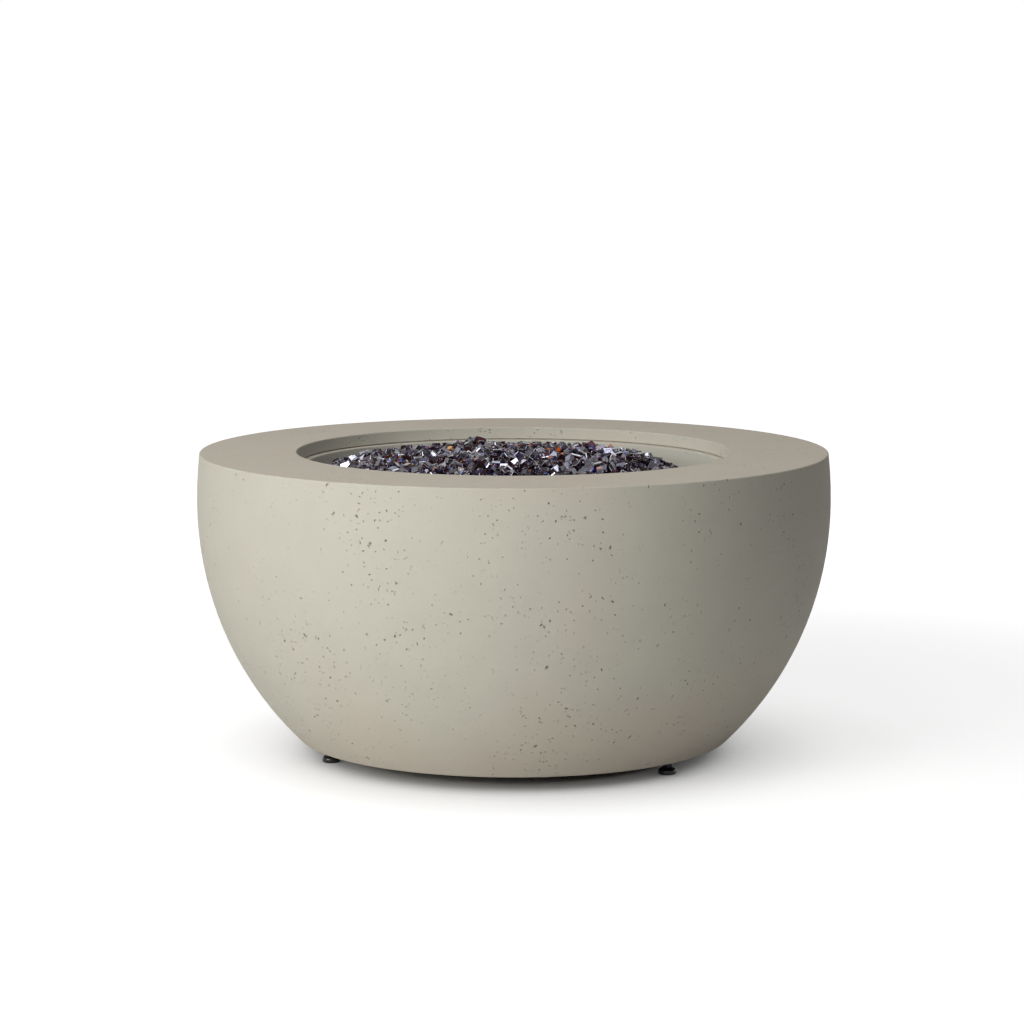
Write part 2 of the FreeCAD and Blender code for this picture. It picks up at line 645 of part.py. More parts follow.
def air_shutter():
    low, high = WINDOW
    sleeve = tube(MIXER_RADIUS + 2, MIXER_RADIUS + RUNNING_CLEARANCE, low, high)
    collar = tube(MIXER_RADIUS + 4, MIXER_RADIUS + RUNNING_CLEARANCE, high - 3, high)
    notches = []
    for index in range(SHUTTER_NOTCHES):
        place = polar(MIXER_RADIUS + 4.4, index * 360 / SHUTTER_NOTCHES)
        notches.append(rod(1.2, low, high + 1, place.x, place.y))
    return placed(sleeve.fuse(collar).cut(mixer_windows()).cut(notches).removeSplitter(), ALONG_Y)


def gas_orifice():
    hexed = hexagon(20, MIXER_END, MIXER_END + 10)
    spigot = turned((0, 80), (8, 80), (8, MIXER_END), (0, MIXER_END))
    nose = turned((0, 68), (2.5, 68), (5, 80), (0, 80))
    flare = turned((0, MIXER_END + 10), (SMALL_FLARE, MIXER_END + 10), (SMALL_FLARE, ORIFICE_END - 2),
                   (5, ORIFICE_END), (0, ORIFICE_END))
    jet = rod(0.9, 60, 90).fuse(rod(GAS_BORE, 86, ORIFICE_END + 1))
    return placed(hexed.fuse(spigot).fuse(nose).fuse(flare).cut(jet).removeSplitter(), ALONG_Y)


def flare_nut(tube_radius):
    """Nut over a flare end and the tube behind it; its mouth is at 0."""
    length = 18
    nut = hexagon(19, 0, length)
    return nut.cut(rod(SMALL_FLARE, 0, NUT_GRIP)).cut(rod(tube_radius, NUT_GRIP, length))


def hose_nuts():
    nut = flare_nut(HOSE_RADIUS)
    front = placed(placed(nut, Placement(Vector(0, 0, ORIFICE_END - NUT_GRIP), Rotation())), ALONG_Y)
    turned_in = Placement(Vector(0, 0, VALVE_REAR - FLARE_REACH + NUT_GRIP), Rotation(Vector(1, 0, 0), 180))
    rear = placed(placed(nut, turned_in), VALVE)
    return group([front, rear])


def burner_hose():
    start = Vector(0, ORIFICE_END, MIXER_HEIGHT)
    end = VALVE.multVec(Vector(0, 0, VALVE_REAR - FLARE_REACH))
    before_end = VALVE.multVec(Vector(0, 0, VALVE_REAR - FLARE_REACH - 60))
    return routed([start, Vector(0, 184, MIXER_HEIGHT), Vector(0, 231, 229), before_end, end], HOSE_RADIUS)


# ---------------------------------------------------------------- valve and knob

def valve_body():
    barrel = turned((0, VALVE_REAR), (12, VALVE_REAR), (14, VALVE_REAR + 4), (VALVE_BODY, VALVE_REAR + 10),
                    (VALVE_BODY, VALVE_SHOULDER - 6), (VALVE_BODY - 2, VALVE_SHOULDER), (0, VALVE_SHOULDER))
    neck = rod(NECK_RADIUS, VALVE_SHOULDER, NECK_END)
    outlet_end = VALVE_REAR - FLARE_REACH
    outlet = turned((0, outlet_end), (5, outlet_end), (SMALL_FLARE, outlet_end + 2), (SMALL_FLARE, VALVE_REAR),
                    (0, VALVE_REAR))
    port = Vector(0, 0, PORT_LEVEL)
    sideways = Vector(-1, 0, 0)
    side = Part.makeCylinder(9, 22, port, sideways)
    side_flare = Part.makeCylinder(SMALL_FLARE, SIDE_PORT_REACH, port, sideways)
    safety = Part.makeCylinder(8, SAFETY_PORT_REACH, port, Vector(0, -1, 0))
    body = barrel.fuse([neck, outlet, side, side_flare, safety]).removeSplitter()
    plug_room = turned((0, PLUG_REAR - 1), (PLUG_RADII[0], PLUG_REAR - 1), (PLUG_RADII[1], PLUG_FRONT),
                       (0, PLUG_FRONT))
    stem_way = rod(STEM_RADIUS + RUNNING_CLEARANCE, PLUG_FRONT - 1, NECK_END + 1)
    gas_way = rod(GAS_BORE, outlet_end - 1, PLUG_REAR)
    inlet_way = Part.makeCylinder(GAS_BORE, SIDE_PORT_REACH + 1, port, sideways)
    return placed(body.cut([plug_room, stem_way, gas_way, inlet_way]), VALVE)


def valve_plug():
    """Tapered rotor that the stem turns: square-shouldered, with a gas port across it."""
    rear_gap = 0.5
    front_gap = 0.3
    slope = (PLUG_RADII[1] - PLUG_RADII[0]) / (PLUG_FRONT - PLUG_REAR + 1)
    rear = PLUG_REAR - 1 + rear_gap
    front = PLUG_FRONT - front_gap
    rear_radius = PLUG_RADII[0] + slope * rear_gap - RUNNING_CLEARANCE
    front_radius = PLUG_RADII[1] - slope * front_gap - RUNNING_CLEARANCE
    plug = turned((TAIL_RADIUS + RUNNING_CLEARANCE, rear), (rear_radius, rear), (front_radius, front),
                  (TAIL_RADIUS + RUNNING_CLEARANCE, front))
    port = Part.makeCylinder(2.5, 12, Vector(0, 0, PORT_LEVEL), Vector(-1, 0, 0))
    return placed(plug.cut(port), VALVE)


def stem_flat(low):
    """What is cut away from the round stem to leave its D flat."""
    return block(STEM_RADIUS, 12, low, STEM_END + 1, STEM_RADIUS + STEM_FLAT, 0)


def valve_stem():
    shank = rod(STEM_RADIUS, STEM_SHOULDER, STEM_END)
    tail = rod(TAIL_RADIUS, PLUG_REAR + 5, STEM_SHOULDER)
    return placed(shank.fuse(tail).cut(stem_flat(12)).removeSplitter(), VALVE)


def valve_washer():
    return placed(tube(VALVE_BODY, NECK_RADIUS, VALVE_SHOULDER, WALL_INNER_SEAT), VALVE)


def knob_bezel():
    """Dished escutcheon in the spot-faced seat round the valve's neck."""
    bezel = turned((NECK_RADIUS, VALVE_SEAT), (27.5, VALVE_SEAT), (29, VALVE_SEAT + 1.2), (28.2, 0.6),
                   (26, 1.2), (23.5, 0.4), (17, 0.4), (15.5, 1.0), (NECK_RADIUS, 1.0))
    return placed(bezel, VALVE)


def valve_locknut():
    return placed(hexagon(26, 1.0, NECK_END - 0.2, NECK_RADIUS), VALVE)


def control_knob():
    """Moulded knob: tapered fluted grip, hollow skirt over the locknut, D bore and a pointer ridge."""
    grip = spun(line((0, KNOB_TOP - 1), (12, KNOB_TOP - 1), (13, KNOB_TOP), (16, KNOB_TOP))
                + arc((16, KNOB_TOP), (18.1, KNOB_TOP - 0.9), (19, KNOB_TOP - 3))
                + line((19, KNOB_TOP - 3), (20.4, 11), (KNOB_RADIUS, 9.5), (KNOB_RADIUS, KNOB_BOTTOM),
                       (18, KNOB_BOTTOM), (18, 12), (0, 12), (0, KNOB_TOP - 1)))
    flutes = []
    for index in range(KNOB_FLUTES):
        place = polar(KNOB_RADIUS + 2.5, (index + 0.5) * 360 / KNOB_FLUTES + 90)
        flutes.append(rod(4.6, 13.5, KNOB_TOP + 1, place.x, place.y))
    bore = rod(STEM_RADIUS, 11, STEM_END).cut(stem_flat(10))
    pointer = block(2.4, 13, KNOB_TOP - 1.5, KNOB_TOP + 0.8, 0, 8.5)
    return placed(grip.cut(flutes).cut(bore).fuse(pointer).removeSplitter(), VALVE)


# ---------------------------------------------------------------- igniter

def igniter_body():
    barrel = turned((0, -68), (9, -68), (IGNITER_RADIUS, -66), (IGNITER_RADIUS, IGNITER_SEAT),
                    (IGNITER_HEAD, IGNITER_SEAT), (IGNITER_HEAD, 0.8), (IGNITER_HEAD - 1.4, 2.2), (0, 2.2))
    button_room = rod(BUTTON_RADIUS + RUNNING_CLEARANCE, -9, 3)
    cell_room = rod(CELL_RADIUS + 0.15, -63, -12)
    tabs = [block(0.8, 4.8, IGNITER_TABS, -67, aside, 0) for aside in (-4.5, 4.5)]
    return placed(barrel.cut([button_room, cell_room]).fuse(tabs), IGNITER)


def igniter_button():
    button = turned((0, -5), (BUTTON_RADIUS, -5), (BUTTON_RADIUS, 4.2), (BUTTON_RADIUS - 1.3, 5.4),
                    (BUTTON_RADIUS - 3, 5.8), (0, 5.0))
    return placed(button, IGNITER)


def igniter_nut():
    return placed(hexagon(30, WALL_INNER_SEAT - 6, WALL_INNER_SEAT, IGNITER_RADIUS), IGNITER)


def igniter_cell():
    cell = rod(CELL_RADIUS, -61.5, -18.5).fuse(rod(1.9, -18.5, -17.3))
    return placed(cell, IGNITER)


def ignition_wire():
    start = IGNITER.multVec(Vector(0, 0, IGNITER_TABS))
    along = IGNITER.multVec(Vector(0, 0, IGNITER_TABS - 38))
    points = [start, along]
    for radius, height, aside in ((268, 228, -4), (236, 252, -8), (SENSOR_RADIUS, 292, -SENSOR_ASIDE)):
        points.append(polar(radius, IGNITER_AZIMUTH, height, aside))
    return routed(points, LEAD_RADIUS)


def thermocouple_lead():
    start = VALVE.multVec(Vector(0, -SAFETY_PORT_REACH, PORT_LEVEL))
    below = VALVE.multVec(Vector(0, -SAFETY_PORT_REACH - 32, PORT_LEVEL))
    probe = polar(SENSOR_RADIUS, IGNITER_AZIMUTH, 297, SENSOR_ASIDE)
    points = [start, below, Vector(-18, 300, 92), Vector(-46, 262, 118), Vector(-68, 234, 162),
              Vector(probe.x, probe.y, 225), probe]
    return routed(points, LEAD_RADIUS)


# ---------------------------------------------------------------- gas inlet

# Frame at the bracket whose local +Z points at the bowl's axis
INLET = Placement(polar(BRACKET_RADIUS, INLET_AZIMUTH, INLET_HEIGHT),
                  Rotation(polar(0, INLET_AZIMUTH, 0, -1), UP, polar(-1, INLET_AZIMUTH), "ZXY"))


def inlet_bracket():
    """Angle plate bolted to the concrete base flange."""
    width = 54
    depth = 38
    middle = BRACKET_RADIUS + BRACKET_PLATE / 2
    upright = block(BRACKET_PLATE, width, FLANGE_TOP, INLET_HEIGHT + 22, middle, 0)
    foot = block(depth, width, FLANGE_TOP, FLANGE_TOP + BRACKET_PLATE, BRACKET_RADIUS + depth / 2, 0)
    plate = around(upright.fuse(foot), INLET_AZIMUTH).removeSplitter()
    return plate.cut(placed(rod(UNION_THREAD + 0.1, -20, 20), INLET)).cut(bracket_bolts())


def bracket_bolts():
    bolts = []
    head_low = FLANGE_TOP + BRACKET_PLATE
    for aside in (-BOLT_ASIDE, BOLT_ASIDE):
        shank = rod(3, FLANGE_TOP - 14, head_low + 0.5)
        bolt = shank.fuse(hexagon(10, head_low, head_low + 4)).removeSplitter()
        bolts.append(placed(bolt, Placement(polar(BOLT_CIRCLE, INLET_AZIMUTH, 0, aside), Rotation())))
    return group(bolts)


def inlet_fitting():
    """Bulkhead union: a flare end for the supply hose towards the axis, and one for the pipe behind."""
    hex_rear = -10.5
    hex_front = -BRACKET_PLATE
    back = hexagon(24, hex_rear, hex_front)
    thread = rod(UNION_THREAD, hex_front, 12)
    flare = turned((0, 12), (FLARE_RADIUS, 12), (FLARE_RADIUS, FLARE_TIP - 2.5), (5.2, FLARE_TIP),
                   (0, FLARE_TIP))
    rear = turned((0, UNION_REAR), (5, UNION_REAR), (SMALL_FLARE, UNION_REAR + 2), (SMALL_FLARE, hex_rear),
                  (0, hex_rear))
    bore = rod(GAS_BORE, UNION_REAR - 1, FLARE_TIP + 1)
    return placed(back.fuse([thread, flare, rear]).removeSplitter().cut(bore), INLET)


def inlet_locknut():
    return placed(hexagon(27, 0, 6, UNION_THREAD), INLET)


def pipe_nuts():
    nut = flare_nut(PIPE_RADIUS)
    at_fitting = Placement(Vector(0, 0, UNION_REAR + NUT_GRIP), Rotation(Vector(1, 0, 0), 180))
    at_valve = Placement(Vector(NUT_GRIP - SIDE_PORT_REACH, 0, PORT_LEVEL), Rotation(Vector(0, 1, 0), -90))
    return group([placed(placed(nut, at_fitting), INLET), placed(placed(nut, at_valve), VALVE)])


def inlet_pipe():
    start = INLET.multVec(Vector(0, 0, UNION_REAR))
    behind = INLET.multVec(Vector(0, 0, UNION_REAR - 38))
    end = VALVE.multVec(Vector(-SIDE_PORT_REACH, 0, PORT_LEVEL))
    beside = VALVE.multVec(Vector(-112, 0, PORT_LEVEL))
    return routed([start, behind, beside, end], PIPE_RADIUS)


# ---------------------------------------------------------------- feet

def foot_place(angle):
    return Placement(polar(FOOT_CIRCLE, angle), Rotation(UP, angle))


def insert_body():
    """Threaded insert cast into the base, waisted so that the concrete grips it."""
    top = FLOOR_GAP + INSERT_LENGTH
    return turned((0, FLOOR_GAP), (INSERT_RADIUS, FLOOR_GAP), (INSERT_RADIUS, FLOOR_GAP + 6),
                  (INSERT_RADIUS - 1.5, FLOOR_GAP + 8), (INSERT_RADIUS - 1.5, top - 7), (INSERT_RADIUS, top - 5),
                  (INSERT_RADIUS, top), (0, top))


def foot_inserts():
    insert = insert_body().cut(rod(STUD_RADIUS + RUNNING_CLEARANCE, 0, 100))
    return group([placed(insert, foot_place(angle)) for angle in FOOT_ANGLES])


def foot_pad(angle):
    """Glossy glide disc with a socket for the stud's end."""
    pad = spun(line((0, 0), (PAD_RADIUS - 1.2, 0), (PAD_RADIUS, 1.2), (PAD_RADIUS, 5.0))
               + arc((PAD_RADIUS, 5.0), (PAD_RADIUS - 1.3, 7.6), (PAD_RADIUS - 4.0, PAD_HEIGHT))
               + line((PAD_RADIUS - 4.0, PAD_HEIGHT), (0, PAD_HEIGHT), (0, 0)))
    pad = pad.cut(rod(STUD_END + RUNNING_CLEARANCE, 3.0, PAD_HEIGHT + 1))
    return placed(pad, foot_place(angle))


def foot_stud(angle):
    """M8 stud: a plain end turning in the pad, a hexagon for the spanner, and the thread."""
    grip_low = PAD_HEIGHT + 0.4
    grip_high = grip_low + 5.5
    end = rod(STUD_END, 3.1, grip_low)
    grip = hexagon(13, grip_low, grip_high)
    top = FLOOR_GAP + STUD_REACH
    thread = turned((0, grip_high), (STUD_RADIUS, grip_high), (STUD_RADIUS, top - 1.2),
                    (STUD_RADIUS - 1.2, top), (0, top))
    return placed(end.fuse([grip, thread]).removeSplitter(), foot_place(angle))


def build():
    os.makedirs("parts", exist_ok=True)
    pieces = (
        outer_shell, fire_well, well_bond, burner_pan, burner, burner_supports, burner_nipple, nipple_locknuts,
        lava_rock_bed, fire_glass_bed, sensor_bracket, sensor_screws, electrode_insulator, electrode_rod,
        thermocouple_probe, heat_shield, shield_posts, shield_screws, nipple_elbow, air_mixer, air_shutter,
        gas_orifice, hose_nuts, burner_hose, valve_body, valve_plug, valve_stem, valve_washer, knob_bezel,
        valve_locknut, control_knob, igniter_body, igniter_button, igniter_nut, igniter_cell, ignition_wire,
        thermocouple_lead, inlet_bracket, bracket_bolts, inlet_fitting, inlet_locknut, pipe_nuts, inlet_pipe,
        foot_inserts)
    for piece in pieces:
        save(piece.__name__, piece())
    for number, angle in enumerate(FOOT_ANGLES, 1):
        save(f"foot_pad_{number}", foot_pad(angle))
        save(f"foot_stud_{number}", foot_stud(angle))


build()
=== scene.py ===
import math

import bpy
import numpy as np
from mathutils import Matrix, Vector


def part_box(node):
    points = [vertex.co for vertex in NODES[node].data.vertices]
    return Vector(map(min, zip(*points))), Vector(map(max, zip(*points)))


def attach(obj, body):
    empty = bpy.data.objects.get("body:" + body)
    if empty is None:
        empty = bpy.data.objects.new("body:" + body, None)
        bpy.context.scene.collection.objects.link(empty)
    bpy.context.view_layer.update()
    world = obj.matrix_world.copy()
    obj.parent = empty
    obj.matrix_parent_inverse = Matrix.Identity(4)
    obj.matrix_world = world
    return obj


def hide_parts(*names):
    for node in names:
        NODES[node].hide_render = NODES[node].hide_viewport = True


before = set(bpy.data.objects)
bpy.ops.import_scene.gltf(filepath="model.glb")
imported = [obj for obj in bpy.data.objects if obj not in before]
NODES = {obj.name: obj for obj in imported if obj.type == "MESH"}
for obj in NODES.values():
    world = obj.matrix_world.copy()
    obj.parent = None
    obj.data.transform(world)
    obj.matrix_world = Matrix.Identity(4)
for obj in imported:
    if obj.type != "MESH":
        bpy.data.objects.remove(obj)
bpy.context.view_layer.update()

# ---------------------------------------------------------------- real sizes, in metres

MM = 0.001
RIM_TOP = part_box("outer_shell")[1].z
BELLY_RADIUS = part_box("outer_shell")[1].x
BELLY_DROP = 72.7 * MM  # the belly's widest level below the rim
BOWL_DEPTH = 474.6 * MM  # half height of the ellipse that the bowl's side follows
RIM_UNDERSIDE = RIM_TOP - 17.5 * MM  # just under the rim slab
FOOT_TOP = 30 * MM  # the mould closes round the foot up to here
WELL_FLOOR = RIM_TOP - 60 * MM  # the glass lies above this

# ---------------------------------------------------------------- camera

CAMERA_DISTANCE = 4.515
CAMERA_ABOVE_RIM = 0.5058
CAMERA_PITCH = 7.54  # degrees below the horizontal
CAMERA_LENS, CAMERA_SENSOR = 109.4, 36  # mm
CAMERA_SIGHT = 50  # how far it sees
AXIS_OFFSET_PX = 1.9  # the bowl's axis lies this far right of the middle of the frame
FRAME_PX = 1024

camera_data = bpy.data.cameras.new("camera")
camera_data.lens = CAMERA_LENS
camera_data.sensor_width = CAMERA_SENSOR
camera_data.shift_x = -AXIS_OFFSET_PX / FRAME_PX
camera_data.clip_end = CAMERA_SIGHT
camera = bpy.data.objects.new("camera", camera_data)
camera.location = (0, -CAMERA_DISTANCE, RIM_TOP + CAMERA_ABOVE_RIM)
camera.rotation_euler = (math.radians(90 - CAMERA_PITCH), 0, 0)
bpy.context.scene.collection.objects.link(camera)
bpy.context.scene.camera = camera
bpy.context.scene.view_settings.view_transform = "Standard"


# ---------------------------------------------------------------- nodes and meshes

def linear(hex_code):
    """sRGB hex to a linear colour."""
    channels = [int(hex_code[i:i + 2], 16) / 255 for i in (1, 3, 5)]
    return [c / 12.92 if c <= 0.04045 else ((c + 0.055) / 1.055) ** 2.4 for c in channels] + [1.0]


def shaded(colour, factor):
    """The colour, that much lighter or darker."""
    return [min(1.0, c * factor) for c in colour[:3]] + [1.0]


def add(tree, kind, inputs=(), out=0, **settings):
    """Adds a shader node with its settings, links the sockets among its inputs and fills in the rest.
    Inputs are a list in the node's order, or a dict by name or number: a Mix node takes its colours at 6
    and 7, and gives theirs at 2. Gives one output back, or with out=None all of them."""
    made = tree.nodes.new("ShaderNode" + kind)
    for name, value in settings.items():
        setattr(made, name, value)
    for name, value in (inputs if isinstance(inputs, dict) else dict(enumerate(inputs))).items():
        if isinstance(value, bpy.types.NodeSocket):
            tree.links.new(value, made.inputs[name])
        else:
            made.inputs[name].default_value = value
    return made.outputs if out is None else made.outputs[out]


def material(name, base, roughness, metallic=0.0, **sockets):
    """A material with its Principled shader's plain values set; returns it, its tree and the shader."""
    made = bpy.data.materials.new(name)
    made.use_nodes = True
    shader = made.node_tree.nodes["Principled BSDF"]
    shader.inputs["Base Color"].default_value = base
    shader.inputs["Roughness"].default_value = roughness
    shader.inputs["Metallic"].default_value = metallic
    for socket, value in sockets.items():
        shader.inputs[socket.replace("_", " ")].default_value = value
    return made, made.node_tree, shader


def mesh_piece(name, points, faces, materials, face_materials=None, smooth=False):
    """An object from points and faces, with its finishes, and each face's finish where there are several."""
    mesh = bpy.data.meshes.new(name)
    mesh.from_pydata([tuple(p) for p in points], [], [tuple(f) for f in faces])
    for finish in materials:
        mesh.materials.append(finish)
    if face_materials is not None:
        mesh.polygons.foreach_set("material_index", face_materials)
    mesh.polygons.foreach_set("use_smooth", [smooth] * len(mesh.polygons))
    mesh.update()
    piece = bpy.data.objects.new(name, mesh)
    bpy.context.scene.collection.objects.link(piece)
    return piece


# ---------------------------------------------------------------- concrete

NOISE_SPAN = (0.3, 0.7)  # where most of a noise texture's values lie

# cell that holds one air pit, largest pit radius, tilt of long pits in radians, and how far they are drawn out
PIT_SIZES = (
    (5.4 * MM, 1.45 * MM, 0.0, 1.0),
    (12.0 * MM, 1.95 * MM, 0.0, 1.0),
    (12.5 * MM, 1.8 * MM, 0.65, 2.6),
    (13.0 * MM, 1.85 * MM, -0.55, 2.5),
)
PIT_WALL, PIT_DEPTH = 1.0 * MM, 1.3 * MM
PIT_STRAY, STRAY_WIDTH = 7 * MM, 8 * MM  # how far pits stray from even rows, and the length over which that turns
CROWD_WIDTH = 150 * MM  # pits gather in places of about this size
CROWD_SWAY = 0.36  # how much likelier a pit is where they gather
NO_PIT = 0.2  # share of cells that stay empty
PIT_RARITY = 1.35  # above 1, large pits are rarer than small ones
# colour of the painted shade in the air pits' hollows
PIT_PAINTED_SHADE = "#4F4A40"


def air_pits(tree, where):
    """Depth mask of the air pits, 1 in their middle and falling to 0 across their walls. Pits are blobs
    strewn through space, and the cast face cuts some of them."""
    wobble = add(tree, "TexNoise", {"Vector": where, "Scale": 1 / STRAY_WIDTH, "Detail": 1.0}, out="Color")
    pull = add(tree, "VectorMath", [wobble, (0.5, 0.5, 0.5)], operation="SUBTRACT")
    pull = add(tree, "VectorMath", {0: pull, "Scale": PIT_STRAY}, operation="SCALE")
    bent = add(tree, "VectorMath", [where, pull], operation="ADD")
    crowd = add(tree, "TexNoise", {"Vector": where, "Scale": 1 / CROWD_WIDTH, "Detail": 3.0, "Roughness": 0.75})
    crowd = add(tree, "MapRange", [crowd, *NOISE_SPAN, -CROWD_SWAY, CROWD_SWAY])
    pits = 0.0
    for cell, largest, tilt, drawn_out in PIT_SIZES:
        turned = add(tree, "VectorRotate", {"Vector": bent, "Angle": tilt}, rotation_type="Y_AXIS")
        squeezed = add(tree, "VectorMath", [turned, (1, 1, 1 / drawn_out)], operation="MULTIPLY")
        cells = add(tree, "TexVoronoi", {"Vector": squeezed, "Scale": 1 / cell, "Randomness": 1.0}, out=None)
        chance = add(tree, "SeparateColor", [cells["Color"]])
        chance = add(tree, "Math", [chance, crowd], operation="ADD")
        chance = add(tree, "MapRange", [chance, NO_PIT, 1.0, 0.0, 1.0])
        radius = add(tree, "Math", [chance, PIT_RARITY], operation="POWER")
        radius = add(tree, "Math", [radius, largest], operation="MULTIPLY")
        away = add(tree, "Math", [cells["Distance"], cell], operation="MULTIPLY")
        inside = add(tree, "Math", [radius, away], operation="SUBTRACT")
        inside = add(tree, "Math", [inside, PIT_WALL], operation="DIVIDE", use_clamp=True)
        pits = add(tree, "Math", [pits, inside], operation="MAXIMUM")
    return pits


# how far a face turns towards the bowl's axis, down or up before it counts as turned that way, and fully so
TO_AXIS, DOWNWARD, UPWARD = (-0.03, -0.06), (-0.8, -0.9), (0.8, 0.98)


def sprayed_back(tree, where):
    """Mask of the bowl's back face: its inner wall and the underside of its rim, above the foot."""
    space = add(tree, "SeparateXYZ", [where], out=None)
    facing = add(tree, "SeparateXYZ", [add(tree, "TexCoord", out="Normal")], out=None)
    x_part = add(tree, "Math", [space[0], facing[0]], operation="MULTIPLY")
    inward = add(tree, "Math", [space[1], facing[1], x_part], operation="MULTIPLY_ADD")
    inward = add(tree, "MapRange", [inward, *TO_AXIS, 0, 1])
    down = add(tree, "MapRange", [facing[2], *DOWNWARD, 0, 1])
    back = add(tree, "Math", [inward, down], operation="MAXIMUM")
    under_rim = add(tree, "Math", [space[2], RIM_UNDERSIDE], operation="LESS_THAN")
    above_foot = add(tree, "Math", [space[2], FOOT_TOP], operation="GREATER_THAN")
    back = add(tree, "Math", [back, under_rim], operation="MULTIPLY")
    return add(tree, "Math", [back, above_foot], operation="MULTIPLY")


GREENISH, PINKISH = (0.992, 1.006, 1.0), (1.02, 0.985, 0.965)  # tints of the curing clouds
TOP_PAINTED_LIGHT = (1.06, 1.0, 0.99, 1)  # painted light from above: faces that look up made lighter and warmer
CLOUD_WIDTH, PATCH_WIDTH = 300 * MM, 60 * MM
CLOUD_SPAN = (0.48, 0.74)  # noise at which a cloud turns from green to pink
FOOT_BAND, FOOT_SHIFT = (50 * MM, 170 * MM), (0.25, -0.06)  # below the band the noise is raised, above it lowered
SAND_GRAIN = 1.8 * MM  # real sand is under 1 mm; it is drawn as coarse as it needs to show
ROLLER_DIMPLE, DIMPLE_DEPTH = 11 * MM, 2.2 * MM
BACK_DARKER = 0.16


def cast_concrete(name, hex_code, open_back):
    """Glass-fibre reinforced concrete, cast face down in a smooth mould and sealed matt: a closed face,
    clouded by uneven curing, with air pits left against the mould. A bowl's open back is sprayed and
    rolled, so it is dimpled and a little darker; a liner cast between two moulds has no such back."""
    base = linear(hex_code)
    made, tree, shader = material(name, base, 0.8, IOR=1.5)
    where = add(tree, "TexCoord", out="Object")
    clouds = add(tree, "TexNoise", {"Vector": where, "Scale": 1 / CLOUD_WIDTH, "Detail": 4.0, "Distortion": 0.5})
    patches = add(tree, "TexNoise", {"Vector": where, "Scale": 1 / PATCH_WIDTH, "Detail": 4.0, "Roughness": 0.6})
    grit = add(tree, "TexNoise", {"Vector": where, "Scale": 1 / SAND_GRAIN, "Detail": 2.0, "Roughness": 0.7})
    greenish, pinkish = [[c * t for c, t in zip(base, tint)] + [1] for tint in (GREENISH, PINKISH)]
    height = add(tree, "SeparateXYZ", [where], out="Z")
    low_down = add(tree, "MapRange", [height, *FOOT_BAND, *FOOT_SHIFT])
    clouds = add(tree, "Math", [clouds, low_down], operation="ADD")
    cured = add(tree, "MapRange", [clouds, *CLOUD_SPAN, 0, 1], interpolation_type="SMOOTHSTEP")
    colour = add(tree, "Mix", {0: cured, 6: greenish, 7: pinkish}, out=2, data_type="RGBA")

    back = sprayed_back(tree, where) if open_back else 0.0
    tone = add(tree, "MapRange", [patches, *NOISE_SPAN, 0.955, 1.005])
    speck = add(tree, "MapRange", [grit, *NOISE_SPAN, -0.015, 0.015])
    tone = add(tree, "Math", [tone, speck], operation="ADD")
    tone = add(tree, "Math", [back, -BACK_DARKER, tone], operation="MULTIPLY_ADD")
    grey = add(tree, "CombineColor", [tone, tone, tone])
    colour = add(tree, "Mix", {0: 1.0, 6: colour, 7: grey}, out=2, data_type="RGBA", blend_type="MULTIPLY")
    # painted light from above: faces that look up, chiefly the rim, are made lighter and warmer
    facing_up = add(tree, "SeparateXYZ", [add(tree, "TexCoord", out="Normal")], out="Z")
    facing_up = add(tree, "MapRange", [facing_up, *UPWARD, 0, 1])
    colour = add(tree, "Mix", {0: facing_up, 6: colour, 7: TOP_PAINTED_LIGHT}, out=2, data_type="RGBA",
                 blend_type="MULTIPLY")
    pits = air_pits(tree, where)
    # painted shade: the pits' hollows are darkened in the colour
    shadow = add(tree, "MapRange", [pits, 0.4, 0.9, 0, 0.72])
    colour = add(tree, "Mix", {0: shadow, 6: colour, 7: linear(PIT_PAINTED_SHADE)}, out=2, data_type="RGBA")
    tree.links.new(colour, shader.inputs["Base Color"])

    dimples = add(tree, "TexVoronoi", {"Vector": where, "Scale": 1 / ROLLER_DIMPLE}, feature="SMOOTH_F1")
    dimples = add(tree, "Math", [dimples, back], operation="MULTIPLY")
    face = add(tree, "Bump", {"Height": grit, "Distance": 0.1 * MM})
    face = add(tree, "Bump", {"Height": patches, "Distance": 0.5 * MM, "Strength": 0.6, "Normal": face})
    face = add(tree, "Bump", {"Height": dimples, "Distance": DIMPLE_DEPTH, "Normal": face})
    face = add(tree, "Bump", {"Height": pits, "Distance": PIT_DEPTH, "Normal": face}, invert=True)
    tree.links.new(face, shader.inputs["Normal"])
    tree.links.new(add(tree, "MapRange", [patches, *NOISE_SPAN, 0.74, 0.86]), shader.inputs["Roughness"])
    return made


# ---------------------------------------------------------------- metals and mouldings

def brushed_sheet(name, hex_code, roughness):
    """Stainless sheet or tube with the satin grain of the finishing belt, lines 0.12 mm wide and 20 times
    as long: highlights stretch across it. Handling leaves faint duller patches, 50 mm across."""
    line_length, drawn_out, handled_width = 2.4 * MM, 20, 50 * MM
    base = linear(hex_code)
    made, tree, shader = material(name, base, roughness, 1.0)
    where = add(tree, "TexCoord", out="Object")
    along = add(tree, "VectorMath", [where, (1, 1, drawn_out)], operation="MULTIPLY")
    grain = add(tree, "TexNoise", {"Vector": along, "Scale": 1 / line_length, "Detail": 4.0, "Roughness": 0.7})
    handled = add(tree, "TexNoise", {"Vector": where, "Scale": 1 / handled_width, "Detail": 3.0})
    handled = add(tree, "MapRange", [handled, 0.35, 0.7, 0, 1])
    colour = add(tree, "Mix", {0: handled, 6: base, 7: shaded(base, 0.8)}, out=2, data_type="RGBA")
    tree.links.new(colour, shader.inputs["Base Color"])
    gloss = add(tree, "MapRange", [grain, *NOISE_SPAN, roughness * 0.75, roughness * 1.3])
    tree.links.new(gloss, shader.inputs["Roughness"])
    tree.links.new(add(tree, "Bump", {"Height": grain, "Distance": 0.06 * MM}), shader.inputs["Normal"])
    return made


